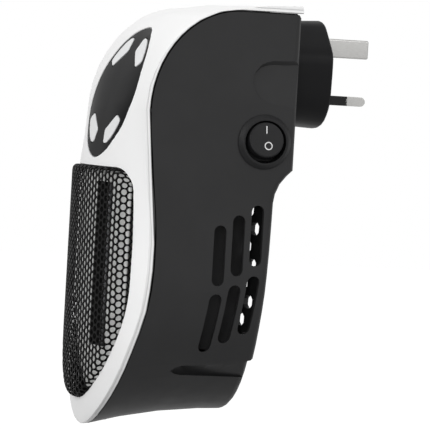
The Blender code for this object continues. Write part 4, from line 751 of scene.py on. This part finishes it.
@dataclass
class Casing(Group):
    """The white crowned cover and the black tub, with a near-black strip along their parting line that paints
    the gap's shadow.
    """

    skins: tuple = (Skin("rear_housing", "housing", 0.25), Skin("front_cover", "cover", 0.25))
    top_z: float = 25.1 * MM
    height: float = 176.8 * MM
    depth: float = 76.8 * MM
    seam_shares: tuple = ((0.245, 0.831), (0.372, 0.805), (0.56, 0.764), (0.68, 0.775), (0.825, 0.838),
                          (0.895, 0.876), (0.945, 0.908), (1.0, 0.945))
    shoulder_back_share: float = 0.345
    top_steps: int = 20
    shoulder_steps: int = 60
    side_steps: int = 120
    slice_height: float = 2.5 * MM
    side_play: float = 0.8 * MM
    side_weight: float = 4.0
    ease_reach: float = 6.0 * MM
    # The near-black strip in the parting gap, which paints its shadow: its radius, how far it stands proud,
    # and where it runs.
    gap_radius: float = 0.42 * MM
    gap_proud: float = 0.05 * MM
    gap_shift: float = 0.22 * MM
    gap_probe: float = 0.9 * MM
    gap_start: float = 2.5 * MM
    gap_end_x: float = 10.0 * MM
    gap_crisp_deg: float = 50.0

    def seam_line(self) -> np.ndarray:
        """Points of the parting line from the side.

        Returns:
            An array of (y, z) points from the back over the shoulder to the lip.
        """
        drop, back = self.seam_shares[0]
        centre_y = BACK_Y - self.depth * self.shoulder_back_share
        centre_z = self.top_z - self.height * drop
        reach = self.depth * (back - self.shoulder_back_share)
        rise = self.top_z - centre_z
        points = [(BACK_Y + (centre_y - BACK_Y) * i / self.top_steps, self.top_z)
                  for i in range(self.top_steps)]
        turns = [math.pi / 2 * i / self.shoulder_steps for i in range(self.shoulder_steps + 1)]
        points += [(centre_y - reach * math.sin(t), centre_z + rise * math.cos(t)) for t in turns]
        downs = np.linspace(drop, 1.0, self.side_steps)
        points += [(BACK_Y - self.depth * b, self.top_z - self.height * d)
                   for d, b in zip(downs, self.seam_share(downs))]
        return np.array(points)

    def seam_share(self, drop: np.ndarray) -> np.ndarray:
        """How far forward the parting line lies, as one smooth curve through its stations.

        Args:
            drop: how far below the top, as shares of the height.

        Returns:
            The shares of the depth.
        """
        at, share = np.array(self.seam_shares).T
        slope = np.gradient(share, at)
        slope[0] = 0.0
        i = np.clip(np.searchsorted(at, drop, side='right') - 1, 0, len(at) - 2)
        span = at[i + 1] - at[i]
        t = (drop - at[i]) / span
        return ((1 + 2 * t) * (1 - t) ** 2 * share[i] + t * t * (3 - 2 * t) * share[i + 1]
                + t * (1 - t) * span * ((1 - t) * slope[i] - t * slope[i + 1]))

    def ease_seam(self, piece: Object) -> None:
        """Let a moulding's rim follow the smooth parting line instead of the straight lengths.

        Args:
            piece: the moulding.
        """
        places = points_of(piece)
        at, share = np.array(self.seam_shares).T
        drop = np.clip((self.top_z - places[:, 2]) / self.height, at[0], at[-1])
        straight = BACK_Y - self.depth * np.interp(drop, at, share)
        curved = BACK_Y - self.depth * self.seam_share(drop)
        near = np.clip(1 - np.abs(places[:, 1] - straight) / self.ease_reach, 0, 1)
        places[:, 1] += (curved - straight) * near
        move_points(piece, places)

    def mark_seam(self, cover: Object) -> None:
        """Store the distance of each point of the cover's sides from the parting line, seen from the side.

        A point that lies further in than the sides counts as far from the line.

        Args:
            cover: the cover.
        """
        line, places = self.seam_line(), points_of(cover)
        spots = nearest_on(places[:, 1:], line[:-1], line[1:])
        gap = np.linalg.norm(places[:, None, 1:] - spots, axis=2).min(1)
        out, across, up = np.abs(places[:, 0]), places[:, 1], places[:, 2]
        side = HALF_WIDTH + TAPER * (across - BACK_Y)
        heights = np.arange(up.min(), up.max(), self.slice_height)
        widest = [(out / side)[np.abs(up - at) < self.slice_height].max(initial=0.0) for at in heights]
        sunk = side * np.interp(up, heights, widest) - out
        store(cover, SEAM_RUN, np.maximum(gap, self.side_weight * (sunk - self.side_play)))

    def parting_shadow_strip(self, tub: Object, side: int) -> None:
        """A near-black strip along one side, in the gap between the cover and the tub, that paints the gap's
        shadow.

        Args:
            tub: the tub, whose wall the gap follows.
            side: 1 for the switch side and -1 for the other.
        """
        line = self.seam_line()
        along = np.gradient(line, axis=0)
        along /= np.linalg.norm(along, axis=1)[:, None]
        inward = np.stack([-along[:, 1], along[:, 0]], axis=1)
        path = []
        for (y, z), probe in zip(line + inward * self.gap_shift, line + inward * self.gap_probe):
            hit, place, _, _ = tub.ray_cast(Vector((2 * side * HALF_WIDTH, *probe)), Vector((-side, 0, 0)))
            if hit and y < BACK_Y - self.gap_start and abs(place.x) > self.gap_end_x:
                path.append((place.x - side * (self.gap_radius - self.gap_proud), y, z, 1))
        deselect_all()
        bpy.ops.curve.primitive_bezier_curve_add(location=(0, 0, 0))
        curve = bpy.context.active_object.data
        curve.splines.clear()
        spline = curve.splines.new('POLY')
        spline.points.add(len(path) - 1)
        spline.points.foreach_set("co", np.ravel(path))
        curve.bevel_depth = self.gap_radius
        curve.bevel_resolution = 2
        curve.use_fill_caps = True
        bpy.ops.object.convert(target='MESH')
        # The strip is a dark tube that paints the shadow in the gap.
        gap = named("parting_shadow_right" if side > 0 else "parting_shadow_left")
        smooth(gap, self.gap_crisp_deg)
        self.shop.place(gap, self.finishes.gap, "rear_housing", stands_for=False)

    def build(self) -> None:
        """Make both mouldings and the near-black strips of painted gap shadow between them."""
        pieces = self.dress()
        for piece in pieces.values():
            self.ease_seam(piece)
        self.mark_seam(pieces["front_cover"])
        for side in (1, -1):
            self.parting_shadow_strip(pieces["rear_housing"], side)


# ---- control panel

@dataclass
class ControlPanel(Group):
    """The oval panel with its four leaf buttons, the display and the boards behind it."""

    skins: tuple = (Skin("control_fascia", "panel", 0.25),
                    *(Skin(f"button_{key}", "button", 0.35)
                      for key in ("power", "timer", "cooler", "warmer")),
                    Skin("display_module", "rocker", 0.4), Skin("control_board", "board", 0.15),
                    Skin("power_board", "board", 0.3))


# ---- outlet

@dataclass
class Outlet(Group):
    """The perforated pan, the baffle behind it and the finned heater in its frame."""

    skins: tuple = (Skin("outlet_baffle", "baffle", 0.3), Skin("heater_frame", "ceramic", 0.4),
                    Skin("thermal_cutout", "brass", 0.2))
    half_width: float = 34.5 * MM
    top_z: float = -43.0 * MM
    height: float = 97.5 * MM
    corner: float = 9.0 * MM
    round_share: float = 0.47
    round_steps: int = 28
    side_steps: int = 20
    face_y: float = -101.7 * MM
    crown: float = 6.2 * MM
    fold: float = 2.2 * MM
    upright: float = 5.2 * MM
    sheet: float = 0.55 * MM
    sheet_crisp_deg: float = 40.0
    pitch: float = 3.12 * MM
    hole: float = 2.58 * MM
    hole_sides: int = 12
    cell_weld: float = 0.02 * MM
    batch: int = 2000
    fin_pitch: float = 1.7 * MM
    fin_sheet: float = 0.22 * MM
    fin_weld: float = 0.01 * MM
    fin_play: float = 0.1 * MM
    fin_crisp_deg: float = 20.0
    bar: float = 1.2 * MM
    bar_edge: float = 0.25 * MM
    core_half: float = 2.2 * MM
    core_inset: float = 0.6 * MM
    window_half: float = 10.5 * MM
    window_rise: float = 34.5 * MM
    window_z: float = -84.0 * MM
    window_margin: float = 0.05 * MM

    def fold_line(self) -> np.ndarray:
        """Where the sheet starts to turn over the rim, in the front view.

        Returns:
            A closed ring of (x, z) points.
        """
        width, top, corner = (size - self.fold for size in (self.half_width, self.top_z, self.corner))
        low = self.top_z - self.height + self.fold
        turn_z = self.top_z - self.height * self.round_share
        turns = np.linspace(0, math.pi / 2, self.round_steps)
        shares = [i / self.side_steps for i in range(1, self.side_steps)]
        right = [(width - corner + corner * math.sin(t), top - corner + corner * math.cos(t)) for t in turns]
        right += [(width, top - corner + (turn_z - top + corner) * part) for part in shares]
        right += [(width * math.cos(t), turn_z - (turn_z - low) * math.sin(t)) for t in turns]
        left = [(-x, z) for x, z in reversed(right[:-1])]
        across = [(-width + corner + 2 * (width - corner) * part, top) for part in shares]
        return np.array(right + left + across)

    def cell(self) -> Object:
        """One hole in its six-sided piece of sheet.

        Returns:
            The cell, centred on the origin, flat in the XZ plane.
        """
        deselect_all()
        bpy.ops.mesh.primitive_circle_add(vertices=self.hole_sides, radius=self.hole / 2,
                                          location=(0, 0, 0), rotation=(math.pi / 2, 0, 0))
        cell = named("outlet_grille_sheet")
        settle(cell)
        rim = self.pitch / math.sqrt(3)
        edit_whole(cell)
        bpy.ops.mesh.extrude_region_move()
        bpy.ops.transform.resize(value=(2 * rim / self.hole,) * 3, center_override=(0, 0, 0))
        leave_edit()
        limit = (rim + self.hole / 2) / 2

        def on_flat(place: Vector) -> bool:
            """Whether a point of the cell's rim lies in the middle of one of its sides."""
            turn = math.degrees(math.atan2(place.z, place.x)) % 60
            return place.length > limit and abs(turn - 30) < 5

        pick(cell, Pick.VERTS, on_flat)
        bpy.ops.transform.resize(value=(math.cos(math.pi / 6),) * 3, center_override=(0, 0, 0))
        leave_edit()
        return cell

    def folded(self, flat: np.ndarray) -> tuple[np.ndarray, np.ndarray]:
        """Fold points of the flat sheet over the pan's rim.

        Args:
            flat: (x, z) points of the flat sheet.

        Returns:
            The points in the row frame, and how far each lies beyond the fold line.
        """
        starts = self.fold_line()
        ends = np.roll(starts, -1, axis=0)
        spots = nearest_on(flat, starts, ends)
        gaps = np.linalg.norm(flat[:, None] - spots, axis=2)
        nearest = np.arange(len(flat)), gaps.argmin(1)
        spot, gap = spots[nearest], gaps[nearest]
        across, rise = (ends - starts).T
        rise = np.where(np.abs(rise) < 1e-12, 1e-12, rise)
        x, z = flat[:, :1], flat[:, 1:]
        passes = (starts[:, 1] > z) != (ends[:, 1] > z)
        passes &= x < starts[:, 0] + (z - starts[:, 1]) / rise * across
        inside = passes.sum(1) % 2 == 1
        run = np.where(inside, 0.0, gap)
        way = np.where(gap[:, None] > 1e-9, (flat - spot) / np.maximum(gap, 1e-9)[:, None], 0.0)
        turn = np.minimum(run / self.fold, math.pi / 2)
        out = self.fold * np.sin(turn)
        drop = self.fold * (1 - np.cos(turn)) + np.maximum(0.0, run - self.fold * math.pi / 2)
        plan = np.where(inside[:, None], flat, spot + way * out[:, None])
        y = self.face_y + self.crown * (plan[:, 0] / self.half_width) ** 2 + drop
        return np.column_stack([plan[:, 0], y, plan[:, 1]]), run

    def trim(self, sheet: Object, spare: np.ndarray) -> None:
        """Take faces off the sheet and let the rest face out of the outlet.

        Args:
            sheet: the sheet.
            spare: for each face whether it goes.
        """
        edit_whole(sheet)
        bpy.ops.mesh.select_mode(type='FACE')
        leave_edit()
        sheet.data.polygons.foreach_set("select", spare)
        bpy.ops.object.mode_set(mode='EDIT')
        bpy.ops.mesh.delete(type='FACE')
        bpy.ops.mesh.select_all(action='SELECT')
        bpy.ops.mesh.normals_make_consistent(inside=False)
        if self.faces_inwards(sheet):
            bpy.ops.mesh.flip_normals()
        leave_edit()

    def faces_inwards(self, sheet: Object) -> bool:
        """Whether most of the sheet, in edit mode, faces into the heater."""
        sheet.update_from_editmode()
        return sum(face.normal.y for face in sheet.data.polygons) > 0

    def pan(self) -> None:
        """The perforated sheet: one cell repeated, trimmed, folded round the rim and given its thickness."""
        across = self.pitch * math.sqrt(3) / 2
        reach_x = self.half_width + self.fold + self.upright
        columns = 2 * (int(reach_x / across / 2) + 1)
        rows = int((self.height + 2 * self.upright + 2 * self.fold) / self.pitch) + 3
        sheet = self.cell()
        repeat(sheet, (0, 0, self.pitch), rows)
        repeat(sheet, (across, 0, self.pitch / 2), 2)
        repeat(sheet, (2 * across, 0, 0), columns)
        weld(sheet, self.cell_weld)
        mid_z = self.top_z - self.height / 2
        shift = np.array([-(2 * columns - 1) * across / 2 - across / 2, mid_z - rows * self.pitch / 2])
        centres = np.array([(i * across, (j + (i % 2) / 2) * self.pitch)
                            for i in range(2 * columns) for j in range(rows)]) + shift
        faces = np.array([face.center for face in sheet.data.polygons])[:, [0, 2]] + shift
        owner = np.concatenate([((faces[start:start + self.batch, None] - centres) ** 2).sum(2).argmin(1)
                                for start in range(0, len(faces), self.batch)])
        places, _ = self.folded(points_of(sheet)[:, [0, 2]] + shift)
        _, runs = self.folded(centres)
        move_points(sheet, places)
        self.trim(sheet, (runs >= self.fold * math.pi / 2 + self.upright)[owner])
        thicken(sheet, self.sheet, -1)
        smooth(sheet, self.sheet_crisp_deg)
        self.shop.place(sheet, self.finishes.grille, "outlet_grille")

    def fin_pack(self, name: str, low_x: float, high_x: float, stands_for: bool) -> None:
        """One run of folded fins between two bars.

        Args:
            name: the piece's name.
            low_x: where the fins start.
            high_x: where they end.
            stands_for: whether they replace the heating element.
        """
        low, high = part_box("heating_element")
        deselect_all()
        bpy.ops.mesh.primitive_plane_add(size=1, location=((low_x + high_x) / 2, (low.y + high.y) / 2,
                                                           low.z + self.fin_pitch))
        fins = named(name)
        fins.scale = (high_x - low_x, high.y - low.y, 1)
        settle(fins)
        pick(fins, Pick.VERTS, lambda place: place.x > (low_x + high_x) / 2)
        bpy.ops.transform.translate(value=(0, 0, self.fin_pitch / 2))
        bpy.ops.mesh.select_mode(type='EDGE')
        leave_edit()
        pick(fins, Pick.EDGES, lambda place: place.x > high_x - self.fin_play)
        back = (low_x - high_x, 0, self.fin_pitch / 2)
        bpy.ops.mesh.extrude_region_move(TRANSFORM_OT_translate={"value": back})
        leave_edit()
        repeat(fins, (0, 0, self.fin_pitch), int((high.z - low.z - 2 * self.fin_pitch) / self.fin_pitch))
        weld(fins, self.fin_weld)
        thicken(fins, self.fin_sheet, 0)
        smooth(fins, self.fin_crisp_deg)
        self.shop.place(fins, self.finishes.fins, "heating_element", stands_for)

    def bar_of(self, name: str, low: tuple, high: tuple, material: Material) -> None:
        """A soft-edged bar of the heater.

        Args:
            name: the bar's name.
            low: its lowest corner.
            high: its highest corner.
            material: its finish.
        """
        deselect_all()
        bpy.ops.mesh.primitive_cube_add(size=1, location=(Vector(low) + Vector(high)) / 2)
        bar = named(name)
        bar.scale = Vector(high) - Vector(low)
        settle(bar)
        bevel(bar, self.bar_edge)
        smooth(bar)
        self.shop.place(bar, material, "heating_element", False)

    def heater(self) -> None:
        """Two fin runs between aluminium bars, with the ceramic element in the middle."""
        low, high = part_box("heating_element")
        core, inset = self.core_half, self.core_inset
        self.fin_pack("fin_run_left", low.x + self.bar, -core, True)
        self.fin_pack("fin_run_right", core, high.x - self.bar, False)
        for name, x in (("fin_bar_left", low.x), ("fin_bar_right", high.x - self.bar)):
            self.bar_of(name, (x, low.y, low.z), (x + self.bar, high.y, high.z), self.finishes.fins)
        self.bar_of("element_bar", (-core, low.y + inset, low.z), (core, high.y - inset, high.z),
                    self.finishes.ceramic)

    def shade_window(self, baffle: Object) -> None:
        """Mark the walls of the baffle's window, which face the hot fins, for their painted shade."""
        across, _, up = np.abs(points_of(baffle) - (0, 0, self.window_z)).T
        store(baffle, WINDOW_SHADE, (across < self.window_half + self.window_margin)
              & (up < self.window_rise + self.window_margin))

    def build(self) -> None:
        """Make the pan, the heater and the mouldings round them."""
        self.pan()
        self.heater()
        self.shade_window(self.dress()["outlet_baffle"])


# ---- fan

@dataclass
class AirMover(Group):
    """The axial fan, its motor and shaft in their shroud."""

    skins: tuple = (Skin("fan_shroud", "housing", 0.25), Skin("impeller", "rocker", 0.2),
                    Skin("fan_motor", "steel", 0.3), Skin("motor_shaft", "steel", 0.1))


# ---- switch

@dataclass
class MainsSwitch(Group):
    """The collar, the switch behind it and the round rocker with its two marks."""

    skins: tuple = (Skin("switch_bezel", "collar", 0.2), Skin("switch_body", "rocker", 0.3),
                    Skin("rocker", "rocker", 0.3))
    place_y: float = -36.2 * MM
    place_z: float = -28.8 * MM
    rise: float = 3.4 * MM
    tilt_deg: float = 10.0
    pivot_depth: float = 2.5 * MM
    line: float = 0.44 * MM
    on_length: float = 3.2 * MM
    on_up: float = 4.15 * MM
    on_edge: float = 0.05 * MM
    off_radius: float = 1.52 * MM
    off_down: float = 2.6 * MM
    off_back: float = 0.8 * MM
    relief: float = 0.06 * MM
    mark_crisp_deg: float = 40.0

    def seat(self) -> Matrix:
        """The place and turn of the switch on the side wall.

        Returns:
            The matrix from the switch's own frame, X outwards, to the row frame.
        """
        x = HALF_WIDTH + TAPER * (self.place_y - BACK_Y)
        lean = Matrix.Rotation(-math.atan(TAPER), 4, 'Z')
        pivot = Matrix.Translation((-self.pivot_depth, 0, 0))
        tilt = Matrix.Rotation(-math.radians(self.tilt_deg), 4, 'Y')
        return Matrix.Translation((x, self.place_y, self.place_z)) @ lean @ pivot @ tilt @ pivot.inverted()

    def mark(self, piece: Object) -> None:
        """Carry a mark onto the rocker's face and finish it."""
        piece.data.transform(self.seat())
        smooth(piece, self.mark_crisp_deg)
        self.shop.place(piece, self.finishes.mark, "rocker", False)

    def marks(self) -> None:
        """The upright stroke for on and the ring for off, both generic switch marks."""
        deselect_all()
        bpy.ops.mesh.primitive_cube_add(size=1, location=(self.rise, 0, self.on_up))
        stroke = named("on_mark")
        stroke.scale = (2 * self.relief, self.line, self.on_length)
        settle(stroke)
        bevel(stroke, self.on_edge)
        self.mark(stroke)
        deselect_all()
        bpy.ops.mesh.primitive_torus_add(major_radius=self.off_radius, minor_radius=self.line / 2,
                                         major_segments=40, minor_segments=8,
                                         location=(0, 0, 0), rotation=(0, math.pi / 2, 0))
        ring = named("off_mark")
        settle(ring)
        edit_whole(ring)
        bpy.ops.transform.resize(value=(2 * self.relief / self.line, 1, 1), center_override=(0, 0, 0))
        bpy.ops.transform.translate(value=(self.rise, self.off_back, -self.off_down))
        leave_edit()
        self.mark(ring)

    def build(self) -> None:
        """Dress the switch and put the marks on its rocker."""
        self.dress()
        self.marks()


# ---- plug and screws

@dataclass
class PlugHead(Group):
    """The three-pin plug that the body swivels on."""

    skins: tuple = (Skin("plug_body", "plug", 0.4),
                    *(Skin(f"{pole}_pin", "pin", 0.15) for pole in ("earth", "live", "neutral")),
                    *(Skin(f"{pole}_sleeve", "sleeve", 0.1) for pole in ("live", "neutral")),
                    Skin("swivel_plate", "housing", 0.3))


@dataclass
class Fasteners(Group):
    """The screws of the swivel plate and of the casing."""

    skins: tuple = tuple(Skin(f"{place}_screw_{side}", "steel", 0.2) for place, side in (
        ("swivel", "right"), ("swivel", "left"), ("case", "left"), ("case", "right"), ("case", "lip")))


# ---- studio

@dataclass(frozen=True)
class Lamp:
    """A soft square lamp that looks at the heater."""

    name: str
    place: tuple
    size: float
    watts: float


@dataclass
class Studio:
    """Camera, lamps, world and floor."""

    azimuth_deg: float = 71.0
    elevation_deg: float = 1.6
    roll_deg: float = 3.281
    distance: float = 2.0
    focal_px: float = 4769.73
    frame_px: float = 430.0
    sensor_mm: float = 36.0
    clip: tuple = (0.01, 100)
    target: tuple = (23.738 * MM, -50.0 * MM, -60.697 * MM)
    ambient: float = 0.50
    floor_z: float = -0.26
    floor_size: float = 9.0
    floor_tone: float = 0.2
    floor_roughness: float = 0.9
    floor_lift: float = 0.95
    lamps: tuple = (Lamp("front_softbox", (0.45, -1.3, 0.5), 0.9, 9.0),
                    Lamp("side_softbox", (1.1, 0.6, 0.6), 0.8, 6.0),
                    Lamp("top_softbox", (0.2, -0.2, 1.3), 0.9, 3.0),
                    Lamp("eye_softbox", (1.45, -0.62, 0.05), 0.3, 5.5))

    def axes(self) -> tuple[Vector, Vector, Vector]:
        """The camera's directions.

        Returns:
            Its right, up and back.
        """
        a, e, r = (math.radians(v) for v in (self.azimuth_deg, self.elevation_deg, self.roll_deg))
        back = Vector((math.sin(a) * math.cos(e), -math.cos(a) * math.cos(e), math.sin(e)))
        right = Vector((math.cos(a), math.sin(a), 0))
        up = back.cross(right)
        return right * math.cos(r) + up * math.sin(r), up * math.cos(r) - right * math.sin(r), back

    def camera(self) -> None:
        """A long lens from the photograph's side."""
        axes = self.axes()
        data = bpy.data.cameras.new("camera")
        data.sensor_width = self.sensor_mm
        data.lens = self.focal_px / self.frame_px * self.sensor_mm
        data.clip_start, data.clip_end = self.clip
        camera = added("camera", data)
        camera.matrix_world = (Matrix.Translation(Vector(self.target) + axes[2] * self.distance)
                               @ Matrix(axes).transposed().to_4x4())
        bpy.context.scene.camera = camera

    def light(self, lamp: Lamp) -> None:
        """Set up a lamp.

        Args:
            lamp: which one.
        """
        data = bpy.data.lights.new(lamp.name, 'AREA')
        data.size = lamp.size
        data.energy = lamp.watts
        stand = added(lamp.name, data)
        stand.location = lamp.place
        stand.rotation_euler = (Vector(lamp.place) - Vector(self.target)).to_track_quat('Z', 'Y').to_euler()

    def seen_by_eye(self, tree: NodeTree) -> NodeSocket:
        """Whether a ray comes from the camera, straight or by way of a mirror or glass.

        Args:
            tree: the node tree to add the test to.

        Returns:
            One for such rays and nought for all others.
        """
        path = tree.nodes.new("ShaderNodeLightPath")
        total = path.outputs["Is Camera Ray"]
        for name in ("Is Glossy Ray", "Is Transmission Ray"):
            add = tree.nodes.new("ShaderNodeMath")
            add.operation = 'MAXIMUM'
            tree.links.new(total, add.inputs[0])
            tree.links.new(path.outputs[name], add.inputs[1])
            total = add.outputs[0]
        return total

    def world(self) -> None:
        """An even pale surround, which the camera, mirrors and glass see as plain white."""
        world = bpy.data.worlds.new("studio")
        world.use_nodes = True
        tree = world.node_tree
        plain, white = tree.nodes["Background"], tree.nodes.new("ShaderNodeBackground")
        for node, strength in ((plain, self.ambient), (white, 1.0)):
            node.inputs["Color"].default_value = (1, 1, 1, 1)
            node.inputs["Strength"].default_value = strength
        mix = tree.nodes.new("ShaderNodeMixShader")
        for slot, source in enumerate((self.seen_by_eye(tree), plain.outputs[0], white.outputs[0])):
            tree.links.new(source, mix.inputs[slot])
        tree.links.new(mix.outputs[0], tree.nodes["World Output"].inputs["Surface"])
        bpy.context.scene.world = world

    def floor(self) -> None:
        """A plain pale floor well below the heater, which hangs in its socket."""
        deselect_all()
        bpy.ops.mesh.primitive_plane_add(size=self.floor_size, location=(0, 0, self.floor_z))
        floor = named("floor")
        settle(floor)
        graph = Graph("floor_white")
        graph.set(Base_Color=(*(self.floor_tone,) * 3, 1), Roughness=self.floor_roughness,
                  Specular_IOR_Level=0.0, Emission_Color=(1, 1, 1, 1))
        graph.join(graph.spread(self.seen_by_eye(graph.material.node_tree), 0, self.floor_lift, 0, 1),
                   graph.shader.inputs["Emission Strength"])
        floor.data.materials.append(graph.material)

    def build(self) -> None:
        """Set up the whole studio."""
        bpy.context.scene.view_settings.view_transform = 'Standard'
        self.camera()
        self.world()
        self.floor()
        for lamp in self.lamps:
            self.light(lamp)
        LOG.info("studio ready")


# ---- all together


def main() -> None:
    """Build every sub-assembly and the studio."""
    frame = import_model()
    shop = Workshop(frame, Finishes())
    for kind in (Casing, ControlPanel, Outlet, AirMover, MainsSwitch, PlugHead, Fasteners):
        kind(shop).build()
        LOG.info("%s done", kind.__name__)
    Studio().build()
    deselect_all()


if __name__ == "__main__":
    main()
